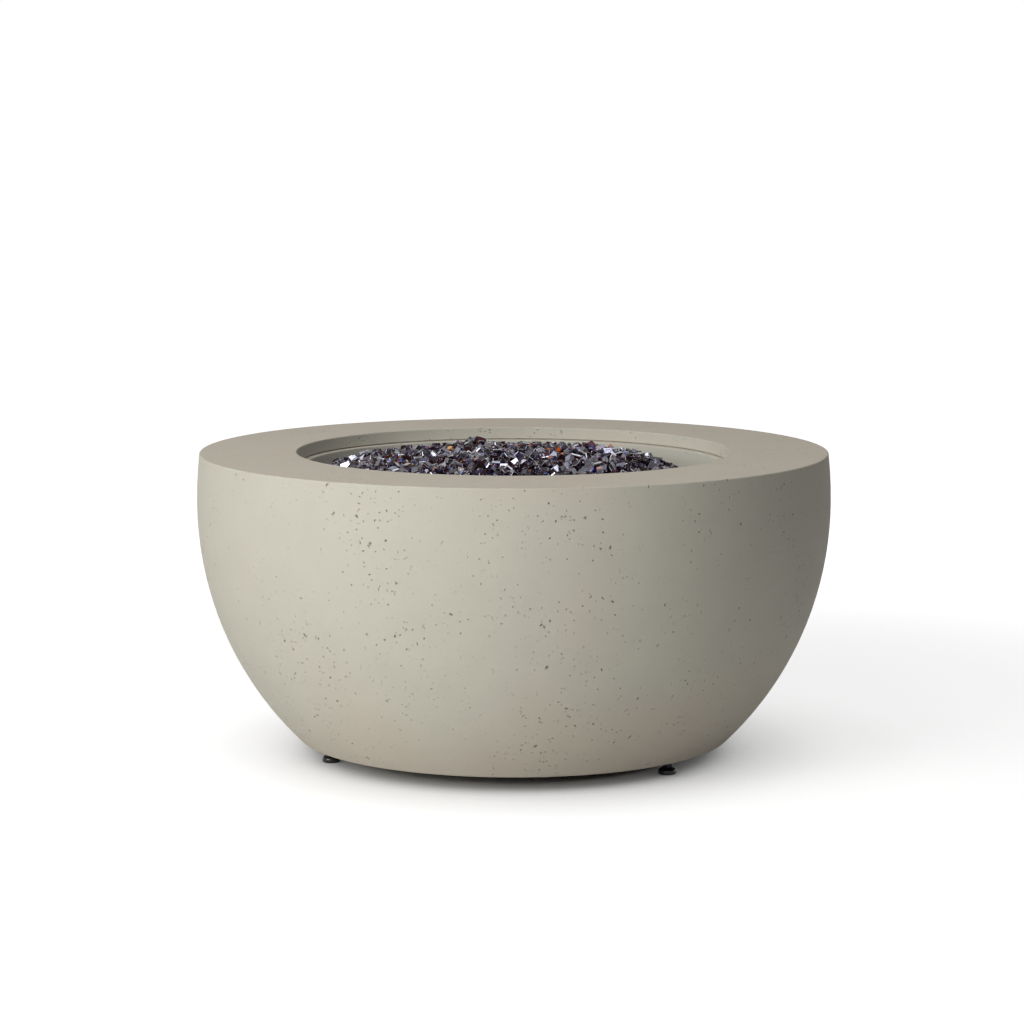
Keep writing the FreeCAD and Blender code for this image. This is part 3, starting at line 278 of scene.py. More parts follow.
def turned_metal(name, hex_code, tarnish, roughness):
    """Bar stock, turned, milled or drawn: tool marks that break up its shine, and patches of tarnish or
    passivation 14 mm across that dull it. Real marks are finer: they are drawn a millimetre apart to show."""
    marks_apart, patch_width = 1.1 * MM, 14 * MM
    base = linear(hex_code)
    made, tree, shader = material(name, base, roughness, 1.0)
    where = add(tree, "TexCoord", out="Object")
    marks = add(tree, "TexNoise", {"Vector": where, "Scale": 1 / marks_apart, "Detail": 3.0, "Roughness": 0.6})
    patches = add(tree, "TexNoise", {"Vector": where, "Scale": 1 / patch_width, "Detail": 4.0, "Roughness": 0.6})
    dulled = add(tree, "MapRange", [patches, 0.42, 0.68, 0, 1])
    colour = add(tree, "Mix", {0: dulled, 6: base, 7: linear(tarnish)}, out=2, data_type="RGBA")
    tree.links.new(colour, shader.inputs["Base Color"])
    gloss = add(tree, "MapRange", [patches, *NOISE_SPAN, roughness * 0.8, roughness * 1.5])
    tree.links.new(gloss, shader.inputs["Roughness"])
    tree.links.new(add(tree, "Bump", {"Height": marks, "Distance": 0.05 * MM}), shader.inputs["Normal"])
    return made


def moulding(name, hex_code, roughness, grain=0.9 * MM, depth=0.04 * MM, coat=0.0):
    """Moulded polymer: the mould's spark-eroded grain breaks up its sheen, and handling rubs it lighter
    in patches 12 mm across. The grain is drawn coarser than the real 0.2 mm, so that it shows."""
    rub_width = 12 * MM
    base = linear(hex_code)
    made, tree, shader = material(name, base, roughness, IOR=1.53, Coat_Weight=coat, Coat_Roughness=0.08)
    where = add(tree, "TexCoord", out="Object")
    eroded = add(tree, "TexNoise", {"Vector": where, "Scale": 1 / grain, "Detail": 3.0, "Roughness": 0.6})
    wear = add(tree, "TexNoise", {"Vector": where, "Scale": 1 / rub_width, "Detail": 3.0})
    rubbed = add(tree, "MapRange", [wear, 0.4, 0.75, 0, 1])
    lighter = [min(1.0, c * 1.25 + 0.006) for c in base[:3]] + [1.0]
    colour = add(tree, "Mix", {0: rubbed, 6: base, 7: lighter}, out=2, data_type="RGBA")
    tree.links.new(colour, shader.inputs["Base Color"])
    gloss = add(tree, "MapRange", [wear, *NOISE_SPAN, roughness * 0.85, roughness * 1.2])
    tree.links.new(gloss, shader.inputs["Roughness"])
    tree.links.new(add(tree, "Bump", {"Height": eroded, "Distance": depth}), shader.inputs["Normal"])
    return made


def sintered_alumina(name, hex_code):
    """Fired alumina ceramic: dense, off-white, faintly glazed, with kiln specks up to 1.5 mm apart."""
    speck_width, speck_hex = 1.5 * MM, "#B9B09C"
    base = linear(hex_code)
    made, tree, shader = material(name, base, 0.35, IOR=1.6)
    where = add(tree, "TexCoord", out="Object")
    specks = add(tree, "TexNoise", {"Vector": where, "Scale": 1 / speck_width, "Detail": 2.0})
    specks = add(tree, "MapRange", [specks, 0.55, 0.75, 0, 1])
    colour = add(tree, "Mix", {0: specks, 6: base, 7: linear(speck_hex)}, out=2, data_type="RGBA")
    tree.links.new(colour, shader.inputs["Base Color"])
    return made


def crushed_scoria(name):
    """Crushed lava rock: dark red-brown to black, dead matt, full of 4 mm bubbles, in 20 mm lumps."""
    bubble, lump, burnt_width = 4 * MM, 20 * MM, 30 * MM
    black, red = linear("#2B201D"), linear("#4A2A22")
    made, tree, shader = material(name, black, 0.92, IOR=1.5)
    where = add(tree, "TexCoord", out="Object")
    burnt = add(tree, "TexNoise", {"Vector": where, "Scale": 1 / burnt_width, "Detail": 3.0})
    burnt = add(tree, "MapRange", [burnt, 0.4, 0.65, 0, 1])
    tree.links.new(add(tree, "Mix", {0: burnt, 6: black, 7: red}, out=2, data_type="RGBA"),
                   shader.inputs["Base Color"])
    bubbles = add(tree, "TexVoronoi", {"Vector": where, "Scale": 1 / bubble})
    lumps = add(tree, "TexVoronoi", {"Vector": where, "Scale": 1 / lump})
    face = add(tree, "Bump", {"Height": bubbles, "Distance": bubble / 2})
    face = add(tree, "Bump", {"Height": lumps, "Distance": 8 * MM, "Normal": face})
    tree.links.new(face, shader.inputs["Normal"])
    return made


# ---------------------------------------------------------------- fire glass finishes

GLASS_IOR = 1.52
LIGHT_BLOCK, LIGHT_BAR, BAR_STRETCH = 5.5 * MM, 1.9 * MM, 4  # width of painted blocks and bars, a bar's length over it
COBALT_SHARE, BAR_SHARE = 0.02, 0.14
# the painted light inside the glass: cobalt blocks, and pale bars painted as reflections of a doubled edge
COBALT, PAINTED_BAR_REFLECTION = "#3E50A0", "#B4BAC8"


def broken_glass(name, painted_shade_hex, body_hex, painted_sheen_hex, painted_glow_hex, glow_share):
    """Side of a broken piece of tempered bronze glass, drawn opaque with the light that runs round inside it
    painted on: square-cut blocks of near black painted shade, lit brown and painted violet sheen, thin pale
    bars painted as reflections where an edge is doubled, and now and then a painted orange glow or a cobalt block."""
    made, tree, shader = material(name, linear(body_hex), 0.07, IOR=GLASS_IOR)
    cut = add(tree, "Attribute", out="Vector", attribute_name="cut")
    tone = add(tree, "Attribute", out="Fac", attribute_name="tone")
    blocks = add(tree, "TexVoronoi", {"Vector": cut, "Scale": 1 / LIGHT_BLOCK, "Randomness": 0.8}, out="Color",
                 distance="CHEBYCHEV")
    red, green, blue = add(tree, "SeparateColor", [blocks], out=None)
    # painted light and shade: each block is lit brown or near black painted shade
    lit = add(tree, "Math", [red, tone], operation="MULTIPLY")
    lit = add(tree, "MapRange", [lit, 0.14, 0.66, 0, 1])
    colour = add(tree, "Mix", {0: lit, 6: linear(painted_shade_hex), 7: linear(body_hex)}, out=2, data_type="RGBA")
    # painted sheen: violet blocks
    violet = add(tree, "MapRange", [green, 0.7, 0.8, 0, 0.85])
    # painted glow: an orange block now and then
    glow = add(tree, "Math", [blue, 1 - glow_share], operation="GREATER_THAN")
    cold = add(tree, "Math", [blue, COBALT_SHARE], operation="LESS_THAN")
    # painted reflections: pale bars where an edge is doubled
    drawn = add(tree, "VectorMath", [cut, (1, 1 / BAR_STRETCH, 1)], operation="MULTIPLY")
    bars = add(tree, "TexVoronoi", {"Vector": drawn, "Scale": 1 / LIGHT_BAR, "Randomness": 0.8}, out="Color",
               distance="CHEBYCHEV")
    bars = add(tree, "SeparateColor", [bars])
    pale = add(tree, "Math", [bars, 1 - BAR_SHARE], operation="GREATER_THAN")
    pale = add(tree, "Math", [pale, tone], operation="MULTIPLY")
    for share, hex_code in ((violet, painted_sheen_hex), (glow, painted_glow_hex), (cold, COBALT), (pale, PAINTED_BAR_REFLECTION)):
        colour = add(tree, "Mix", {0: share, 6: colour, 7: linear(hex_code)}, out=2, data_type="RGBA")
    tree.links.new(colour, shader.inputs["Base Color"])
    return made


def mirrored_glass(name, dark_hex, light_hex):
    """Silvered face of the same glass: a thin metal film under bronze glass, so it mirrors the room with
    a grey-lavender cast that differs from piece to piece, smeared by dust in streaks 6 mm across."""
    smear_width = 6 * MM
    made, tree, shader = material(name, linear(light_hex), 0.12, 0.9)
    where = add(tree, "TexCoord", out="Object")
    tone = add(tree, "Attribute", out="Fac", attribute_name="tone")
    few_light = add(tree, "MapRange", [tone, 0.12, 0.78, 0, 1], interpolation_type="SMOOTHSTEP")
    colour = add(tree, "Mix", {0: few_light, 6: linear(dark_hex), 7: linear(light_hex)}, out=2,
                 data_type="RGBA")
    tree.links.new(colour, shader.inputs["Base Color"])
    smears = add(tree, "TexNoise", {"Vector": where, "Scale": 1 / smear_width, "Detail": 2.0})
    tree.links.new(add(tree, "MapRange", [smears, *NOISE_SPAN, 0.06, 0.26]), shader.inputs["Roughness"])
    tree.links.new(add(tree, "Bump", {"Height": smears, "Distance": 0.4 * MM, "Strength": 0.5}),
                   shader.inputs["Normal"])
    return made


def buried_glass(name, dark_hex, light_hex):
    """The same glass under the top layer: little light reaches it, and that shade is painted in as 12 mm blocks
    of near black and dark brown, with a wet gloss that breaks at every block."""
    block, step = 12 * MM, 4 * MM
    made, tree, shader = material(name, linear(dark_hex), 0.15, IOR=GLASS_IOR)
    where = add(tree, "TexCoord", out="Object")
    blocks = add(tree, "TexVoronoi", {"Vector": where, "Scale": 1 / block}, out=None, distance="CHEBYCHEV")
    lit = add(tree, "SeparateColor", [blocks["Color"]])
    colour = add(tree, "Mix", {0: lit, 6: linear(dark_hex), 7: linear(light_hex)}, out=2, data_type="RGBA")
    tree.links.new(colour, shader.inputs["Base Color"])
    tree.links.new(add(tree, "Bump", {"Height": blocks["Distance"], "Distance": step}), shader.inputs["Normal"])
    return made


SHELL_CONCRETE = cast_concrete("cast_gfrc_concrete", "#C4BFB1", True)
WELL_CONCRETE = cast_concrete("cast_gfrc_concrete_well", "#C2BEB1", False)
STAINLESS = brushed_sheet("brushed_stainless_sheet", "#B9B8B2", 0.32)
BURNER_STEEL = brushed_sheet("heat_tinted_stainless_tube", "#9A8F80", 0.38)  # straw brown from the flame
ZINC = turned_metal("zinc_plated_steel", "#A9ACAE", "#8B8E8E", 0.36)  # cool grey, clouded
BLACK_ZINC = turned_metal("black_passivated_zinc", "#25262A", "#34343A", 0.42)  # near black, with a faint sheen
BRASS = turned_metal("machined_brass", "#C9A04E", "#8A6A32", 0.28)  # yellow, browner where it was touched
CHROME = turned_metal("polished_plated_steel", "#D9DADB", "#C6C7C8", 0.09)  # almost a mirror
COPPER = turned_metal("drawn_copper_tube", "#B87350", "#7B4A35", 0.32)  # pink, with brown patches
NYLON = moulding("glossy_moulded_nylon", "#0E0E0F", 0.22, coat=0.3)
PHENOLIC = moulding("satin_moulded_phenolic", "#17171A", 0.42)
BOND = moulding("cured_high_temperature_sealant", "#9A9588", 0.8, 2 * MM, 0.3 * MM)  # dull, wavy from tooling
SILICONE = moulding("extruded_silicone_sleeve", "#8E1B14", 0.5, 3 * MM, 0.02 * MM)  # satin, almost smooth
FIBRE = moulding("vulcanised_fibre", "#6B2E22", 0.7)  # pressed sheet, cut: matt
JACKET = moulding("shrink_wrapped_cell", "#6F7175", 0.35)  # film drawn tight: satin
PAINT = moulding("pad_printed_white_ink", "#D8D8D2", 0.5)
ALUMINA = sintered_alumina("sintered_alumina", "#E4DFD0")
SCORIA = crushed_scoria("crushed_lava_rock")
# bronze glass sides, with painted shade, sheen, glow and reflections in their colour
GLASS_SIDE = broken_glass("bronze_glass_broken_side", "#18070D", "#4C2423", "#3F3659", "#C05E20", 0.011)
GLASS_MIRROR = mirrored_glass("bronze_glass_mirror_face", "#331920", "#DBDDF4")
# a few pieces in amber glass, with the same painted light and shade in their colour
GLASS_AMBER = broken_glass("amber_glass_thin_side", "#3A1A12", "#8A4322", "#5A3A3A", "#E0A040", 0.25)
# glass under the top layer, painted near black as the shade there
GLASS_BURIED = buried_glass("bronze_glass_buried", "#0D080B", "#2A1C1E")
GLASS_ARRIS = mirrored_glass("chipped_glass_arris", "#7A727E", "#E4E6F0")  # chipped edge that flashes white

# what each solid is finished in
FINISH = {
    "outer_shell": SHELL_CONCRETE, "fire_well": WELL_CONCRETE, "well_bond": BOND, "burner_pan": STAINLESS,
    "burner": BURNER_STEEL, "burner_supports": BURNER_STEEL, "burner_nipple": ZINC, "nipple_locknuts": ZINC,
    "lava_rock_bed": SCORIA, "fire_glass_bed": GLASS_BURIED, "sensor_bracket": STAINLESS, "sensor_screws": ZINC,
    "electrode_insulator": ALUMINA, "electrode_rod": BURNER_STEEL, "thermocouple_probe": BURNER_STEEL,
    "heat_shield": ZINC, "shield_posts": ZINC, "shield_screws": ZINC, "nipple_elbow": ZINC, "air_mixer": BRASS,
    "air_shutter": STAINLESS, "gas_orifice": BRASS, "hose_nuts": BRASS, "burner_hose": STAINLESS,
    "valve_body": BRASS, "valve_plug": BRASS, "valve_stem": STAINLESS, "valve_washer": FIBRE,
    "knob_bezel": CHROME, "valve_locknut": BRASS, "control_knob": PHENOLIC, "igniter_body": NYLON,
    "igniter_button": CHROME, "igniter_nut": NYLON, "igniter_cell": JACKET, "ignition_wire": SILICONE,
    "thermocouple_lead": COPPER, "inlet_bracket": ZINC, "bracket_bolts": ZINC, "inlet_fitting": BRASS,
    "inlet_locknut": BRASS, "pipe_nuts": BRASS, "inlet_pipe": COPPER, "foot_inserts": ZINC,
}
FEET = (1, 2, 3)
for number in FEET:
    FINISH[f"foot_pad_{number}"] = NYLON
    FINISH[f"foot_stud_{number}"] = BLACK_ZINC
for node_name, finish in FINISH.items():
    slots = NODES[node_name].data.materials
    slots.clear()
    slots.append(finish)


# ---------------------------------------------------------------- fire glass

# ranges of a piece's three sizes, and of its bevel
GLASS_LONG = (11.5 * MM, 15.0 * MM)
GLASS_WIDE = (10.0 * MM, 12.5 * MM)
GLASS_THICK = (7.0 * MM, 9.5 * MM)
GLASS_BEVEL = (0.25 * MM, 0.8 * MM)
HEAP_CROWN = 0.7 * MM  # top of the heap, from the rim
HEAP_FALL = (0.26, 0.37)  # drop per square metre sideways and front to back
HEAP_SHIFT = -16 * MM  # the glass lies a little to one side
SHOULDER_LEFT, SHOULDER_RIGHT = 228 * MM, 208 * MM  # where the crown breaks into the edge
EDGE_SLOPE, EDGE_CURL = 0.2, 2.0  # fall past the shoulder, for each metre and each metre squared
LEFT_EASE = 0.75  # the left edge's fall, as a share of the right edge's
LONG_RIPPLE = (1.6 * MM, 41, 37)  # height, and radians per metre sideways and front to back
SHORT_RIPPLE = (1.2 * MM, 83, 61)
# three lumps and a hollow in the crown: x, y, height, radius
HEAP_LUMPS = ((-62 * MM, 135 * MM, 11 * MM, 26 * MM), (110 * MM, 90 * MM, 8 * MM, 14 * MM),
              (-130 * MM, 70 * MM, -6 * MM, 30 * MM), (152 * MM, 85 * MM, 4 * MM, 18 * MM))
GLASS_DEPTH = 22 * MM  # how deep the heap is filled with single pieces
GLASS_REACH = 290 * MM
LAYERS = (-8 * MM, 0.0)  # the heap is filled to the first level, then to the second
DROPS = 3600  # pieces tried for each layer
TRIES = 8  # leans and spots that each piece tries
SPREAD = 3  # grid cells that a try may lie away from the low place picked for it
LOOK_AGAIN = 40  # drops between two searches for low places
LEAN = 0.9  # spread of the slopes that pieces lean by
LYING = (0.4, 0.3, 0.3)  # shares that lie on their largest face, and on the two others
BITE = 0.12  # share of its footprint by which a piece may sink between the corners under it
LEAST_GAP = 7 * MM  # depth that a place still has to be short of the surface to take a piece
TOP_SLACK = 3.5 * MM  # how far a piece may stand out of the surface
GRID = 1.5 * MM
GRID_HALF = 300 * MM
FOOTPRINT = 7  # grid cells from a piece's middle to beyond its furthest corner
TAPER = 0.06  # how unlike a piece's two ends are
AMBER_SHARE = 0.015  # of the pieces
MIRROR_SHARE, ARRIS_SHARE = 0.6, 0.45  # of the silvered faces and of the arrises that still catch the light
FEW_PALE = 1.5  # above 1, pale faces are rarer than dark ones
POUR_SEED, PIECE_SEED = 36, 7


def heap_surface(x, y):
    """Height of the heap's surface: a shallow rippled crown that breaks into a steeper edge."""
    radius = np.hypot(x - HEAP_SHIFT, y)
    rightness = 0.5 + 0.5 * (x - HEAP_SHIFT) / np.maximum(radius, GRID)
    shoulder = SHOULDER_LEFT + (SHOULDER_RIGHT - SHOULDER_LEFT) * rightness
    steepness = LEFT_EASE + (1 - LEFT_EASE) * rightness
    past = np.clip(radius - shoulder, 0, None)
    height = RIM_TOP + HEAP_CROWN - HEAP_FALL[0] * x ** 2 - HEAP_FALL[1] * y ** 2
    height = height - steepness * (EDGE_SLOPE * past + EDGE_CURL * past ** 2)
    for lump_x, lump_y, lump, reach in HEAP_LUMPS:
        height = height + lump * np.exp(-((x - lump_x) ** 2 + (y - lump_y) ** 2) / reach ** 2)
    high, sideways, back = LONG_RIPPLE
    ripple = high * np.sin(x * sideways + 1.0) * np.cos(y * back)
    high, sideways, back = SHORT_RIPPLE
    return height + (ripple + high * np.sin(x * sideways + y * back))


def broken_block():
    """A box with bevelled arrises: corners as signs and the axis of the face they belong to, faces wound
    outwards, and each face's kind: 0 side, 1 mirror, 2 arris."""
    corners = [(sx, sy, sz, axis) for sx in (-1, 1) for sy in (-1, 1) for sz in (-1, 1) for axis in range(3)]
    index = {corner: i for i, corner in enumerate(corners)}
    faces, kinds = [], []

    def corner_of(axis, first, second, side, u, v, owner):
        signs = [0, 0, 0]
        signs[axis], signs[first], signs[second] = side, u, v
        return index[(*signs, owner)]

    for axis in range(3):
        first, second = [a for a in range(3) if a != axis]
        for side in (-1, 1):
            faces.append([corner_of(axis, first, second, side, u, v, axis)
                          for u, v in ((-1, -1), (1, -1), (1, 1), (-1, 1))])
            kinds.append(1 if axis == 2 else 0)
        for u in (-1, 1):
            for v in (-1, 1):
                near = [corner_of(axis, first, second, -1, u, v, owner) for owner in (first, second)]
                far = [corner_of(axis, first, second, 1, u, v, owner) for owner in (second, first)]
                faces.append(near + far)
                kinds.append(2)
    for sx in (-1, 1):
        for sy in (-1, 1):
            for sz in (-1, 1):
                faces.append([index[(sx, sy, sz, axis)] for axis in range(3)])
                kinds.append(2)
    signs = np.array([corner[:3] for corner in corners], float)
    on_face = np.array([[corner[3] == axis for axis in range(3)] for corner in corners])
    spots = signs * (1 + 0.1 * on_face)  # each face stands a little proud, as on the finished piece
    for i, face in enumerate(faces):
        points = spots[face]
        if np.cross(points[1] - points[0], points[2] - points[0]).dot(points.mean(0)) < 0:
            faces[i] = face[::-1]
    return signs, on_face, faces, kinds


def random_turns(rng, count):
    """Rotation matrices of pieces that lie on one of their faces, turned anyhow and leaning."""
    lean = rng.normal(0, LEAN, (count, 2))
    spin = rng.uniform(0, 2 * math.pi, count)
    up = np.column_stack([lean, np.ones(count)])
    up /= np.linalg.norm(up, axis=1, keepdims=True)
    side = np.cross(up, np.column_stack([np.cos(spin), np.sin(spin), np.zeros(count)]))
    side /= np.linalg.norm(side, axis=1, keepdims=True)
    turns = np.stack([np.cross(side, up), side, up], axis=2)
    lying = rng.choice(3, count, p=LYING)
    for shift in (1, 2):
        turns[lying == shift] = np.roll(turns[lying == shift], shift, axis=2)
    return turns


def pour_glass():
    """Drops pieces one by one into the heap's lowest places. Each tries a few leans and spots, and stays in
    the one that lets it sink furthest, held up by what lies there."""
    rng = np.random.default_rng(POUR_SEED)
    ticks = np.arange(-GRID_HALF, GRID_HALF + GRID / 2, GRID)
    grid_x, grid_y = np.meshgrid(ticks, ticks, indexing="ij")
    target = np.maximum(heap_surface(grid_x, grid_y), WELL_FLOOR)
    level = np.maximum(target - GLASS_DEPTH, WELL_FLOOR)
    level[np.hypot(grid_x, grid_y) > GLASS_REACH] = RIM_TOP
    near = np.arange(-FOOTPRINT, FOOTPRINT + 1)
    flat = np.stack([*np.meshgrid(near * GRID, near * GRID, indexing="ij"), np.zeros((near.size, near.size))],
                    axis=-1)
    placed = []
    for drop in range(DROPS * len(LAYERS)):
        goal = target + LAYERS[drop // DROPS]
        if drop % LOOK_AGAIN == 0:
            lowest = np.argwhere(goal - level > LEAST_GAP)
        half = np.array([rng.uniform(*sizes) for sizes in (GLASS_LONG, GLASS_WIDE, GLASS_THICK)]) / 2
        spots = lowest[rng.integers(len(lowest))] + rng.integers(-SPREAD, SPREAD + 1, (TRIES, 2))
        spots = np.clip(spots, FOOTPRINT, len(ticks) - FOOTPRINT - 1)
        cells = spots[:, 0, None, None] + near[:, None], spots[:, 1, None, None] + near
        turns = random_turns(rng, TRIES)
        start = np.einsum("uvk,nkl->nuvl", flat, turns)
        climb = turns[:, None, None, 2, :]
        climb = np.where(np.abs(climb) < 1e-6, 1e-6, climb)
        one_side, other_side = (-half - start) / climb, (half - start) / climb
        low = np.minimum(one_side, other_side).max(axis=-1)
        high = np.maximum(one_side, other_side).min(axis=-1)
        covered = high > low
        holds = np.sort(np.where(covered, level[cells] - low, -1).reshape(TRIES, -1), axis=1)
        bitten = (covered.sum(axis=(1, 2)) * BITE).astype(int) + 1
        rest = holds[np.arange(TRIES), -bitten]
        top = np.where(covered, rest[:, None, None] + high, 0)
        too_high = (top - goal[cells]).max(axis=(1, 2)) > TOP_SLACK
        best = int(np.where(too_high, 1, rest - target[spots[:, 0], spots[:, 1]]).argmin())
        if too_high[best]:
            continue
        i, j = spots[best]
        placed.append(((ticks[i], ticks[j], rest[best]), turns[best], 2 * half))
        lies = slice(i - FOOTPRINT, i + FOOTPRINT + 1), slice(j - FOOTPRINT, j + FOOTPRINT + 1)
        level[lies] = np.maximum(level[lies], top[best])
    return placed


def fire_glass():
    """The loose glass as one mesh: each piece with its own size, lean, taper, finishes and tones."""
    signs, on_face, block, kinds = broken_block()
    rng = np.random.default_rng(PIECE_SEED)
    side, mirror, amber_side, arris = range(4)
    points, faces, finishes, tones, cuts = [], [], [], [], []
    for centre, turn, size in pour_glass():
        bevel = rng.uniform(*GLASS_BEVEL)
        local = signs * (size / 2 - bevel + on_face * bevel)
        local = local * (1 + rng.normal(0, TAPER, 3) * np.roll(signs, 1, axis=1))
        start = len(points)
        points.extend(local @ turn.T + np.array(centre))
        pattern = local + rng.uniform(-1, 1, 3)
        amber = rng.random() < AMBER_SHARE
        for face, kind in zip(block, kinds):
            faces.append([start + i for i in face])
            if kind == 0:
                finishes.append(amber_side if amber else side)
            elif kind == 1:
                finishes.append(mirror if rng.random() < MIRROR_SHARE else side)
            else:
                finishes.append(arris if rng.random() < ARRIS_SHARE else side)
            tones.extend([rng.random() ** FEW_PALE] * len(face))
            cuts.extend(pattern[i] for i in face)
    heap = mesh_piece("fire_glass_pile", points, faces, [GLASS_SIDE, GLASS_MIRROR, GLASS_AMBER, GLASS_ARRIS],
                      finishes)
    heap.data.attributes.new("tone", "FLOAT", "CORNER").data.foreach_set("value", tones)
    heap.data.attributes.new("cut", "FLOAT_VECTOR", "CORNER").data.foreach_set("vector", np.ravel(cuts))
    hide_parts("fire_glass_bed")
    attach(heap, "bowl")


def glass_core():
    """The buried glass: one surface just under the top layer, painted dark as its shade, closed below at the pan.
    """
    spokes, rings, cover = 96, 34, 12 * MM
    inner_ring, outer_ring = 20 * MM, 285 * MM
    edge_level = WELL_FLOOR - 8 * MM
    bottom_level = edge_level - 4 * MM
    points = [(0, 0, float(heap_surface(0.0, 0.0)) - cover)]
    for radius in np.linspace(inner_ring, outer_ring, rings):
        for k in range(spokes):
            x, y = radius * math.cos(2 * math.pi * k / spokes), radius * math.sin(2 * math.pi * k / spokes)
            points.append((x, y, max(float(heap_surface(x, y)) - cover, edge_level)))
    outer = len(points) - spokes
    points.append((0, 0, bottom_level))
    faces = []
    for k in range(spokes):
        after = (k + 1) % spokes
        faces.append((0, 1 + k, 1 + after))
        for low in range(1, outer, spokes):
            faces.append((low + k, low + spokes + k, low + spokes + after, low + after))
        faces.append((len(points) - 1, outer + after, outer + k))
    core = mesh_piece("fire_glass_core", points, faces, [GLASS_BURIED], smooth=True)
    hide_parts("fire_glass_bed")
    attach(core, "bowl")


fire_glass()
glass_core()


# ---------------------------------------------------------------- turned, threaded and bent pieces

CREASE = 32  # degrees by which a skin turns before its edge shows


def rings_piece(name, rings, finish, placing, capped=True):
    """Skin through rings of points, creased where it turns sharply. placing puts them in the bowl's frame."""
    sides = len(rings[0])
    points = [placing @ Vector(p) for ring in rings for p in ring]
    faces = []
    for low in range(0, (len(rings) - 1) * sides, sides):
        for k in range(sides):
            after = (k + 1) % sides
            faces.append((low + k, low + after, low + sides + after, low + sides + k))
    if capped:
        faces.append(tuple(range(sides))[::-1])
        faces.append(tuple(range((len(rings) - 1) * sides, len(rings) * sides)))
    piece = mesh_piece(name, points, faces, [finish], smooth=True)
    piece.data.set_sharp_from_angle(angle=math.radians(CREASE))
    return piece


def ring_at(height, radius_at, sides=48):
    """Ring of points, sizes in mm. The radius is a number, or a function of the angle."""
    ring = []
    for k in range(sides):
        angle = 2 * math.pi * k / sides
        radius = radius_at(angle) if callable(radius_at) else radius_at
        ring.append((radius * math.cos(angle) * MM, radius * math.sin(angle) * MM, height * MM))
    return ring


def hexagon(across_flats, corner_radius):
    """Radius of a hexagon with its corners turned off, by angle, in mm."""
    def radius(angle):
        off_flat = (angle + math.pi / 6) % (math.pi / 3) - math.pi / 6
        return min(across_flats / 2 / math.cos(off_flat), corner_radius)
    return radius


CORNER_REACH, NUT_CHAMFER = 1.15, 0.04  # a corner's radius over half the flats, and a chamfer's height over them


def hexagon_rings(across_flats, low, high):
    """Rings of a hexagon whose ends are chamfered, as on a nut, in mm."""
    flat, corner = across_flats / 2, across_flats / 2 * CORNER_REACH
    chamfer = across_flats * NUT_CHAMFER
    levels = ((low, flat), (low + chamfer, corner), (high - chamfer, corner), (high, flat))
    return [ring_at(height, hexagon(across_flats, limit)) for height, limit in levels]


THREAD_DEPTH, THREAD_STEPS = 0.6, 6  # for each pitch: depth of the V, and rings along the axis


def thread_rings(radius, pitch, low, high):
    """Rings of a V thread that fades out at both ends: the radius is a triangle wave along the helix, mm."""
    depth = THREAD_DEPTH * pitch
    steps = int((high - low) / pitch * THREAD_STEPS)
    rings = []
    for step in range(steps + 1):
        height = low + (high - low) * step / steps
        fade = min(1.0, (height - low) / pitch, (high - height) / pitch)

        def crest(angle, height=height, fade=fade):
            wave = abs(2 * ((height / pitch - angle / (2 * math.pi)) % 1.0) - 1)
            return radius - depth * fade * wave
        rings.append(ring_at(height, crest))
    return rings


# all in mm: levels up the stud, its radii, and its hexagon
STUD_FOOT, STUD_SHOULDER, STUD_NECK, STUD_RUNOUT, STUD_TIP = 3.15, 9.4, 14.9, 42.6, 43.9
STUD_SHANK, STUD_COLLAR, STUD_CREST, STUD_POINT = 4.9, 4.6, 3.99, 2.8
STUD_FLATS, STUD_PITCH = 12.95, 1.25


def levelling_stud(number):
    """M8 levelling stud in black zinc: a plain end turning in the pad, a hexagon for the spanner, the thread."""
    low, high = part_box(f"foot_stud_{number}")
    axis = Matrix.Translation(((low.x + high.x) / 2, (low.y + high.y) / 2, 0))
    rings = [ring_at(STUD_FOOT, STUD_SHANK), ring_at(STUD_SHOULDER, STUD_SHANK)]
    rings += hexagon_rings(STUD_FLATS, STUD_SHOULDER, STUD_NECK) + [ring_at(STUD_NECK, STUD_COLLAR)]
    rings += thread_rings(STUD_CREST, STUD_PITCH, STUD_NECK, STUD_RUNOUT) + [ring_at(STUD_TIP, STUD_POINT)]
    stud = rings_piece(f"levelling_stud_{number}", rings, BLACK_ZINC, axis)
    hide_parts(f"foot_stud_{number}")
    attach(stud, f"stud_{number}")


# all in mm from the bracket's face, positive towards the bowl's axis
UNION_TAIL = ((-24, 4), (-24, 5), (-22, 6.95), (-10.5, 6.95))  # level and radius
UNION_HEXAGON = (23.95, -10.5, -2.5)  # across flats, from, to
UNION_SHOULDER = (-2.5, 10.35)
LOCKNUT_THREAD = (10.38, 1.27, -2.4, 12)  # radius, pitch, from, to
UNION_NECK = (12, 7.9)
FLARE_THREAD = (7.93, 1.41, 12.1, 27.0)
UNION_FLARE = ((27.4, 7.6), (29.95, 5.2), (29.95, 4), (10, 4), (-24, 4))
UNION_LENGTH, UNION_BEHIND = 54, 24  # whole, and the part behind that face


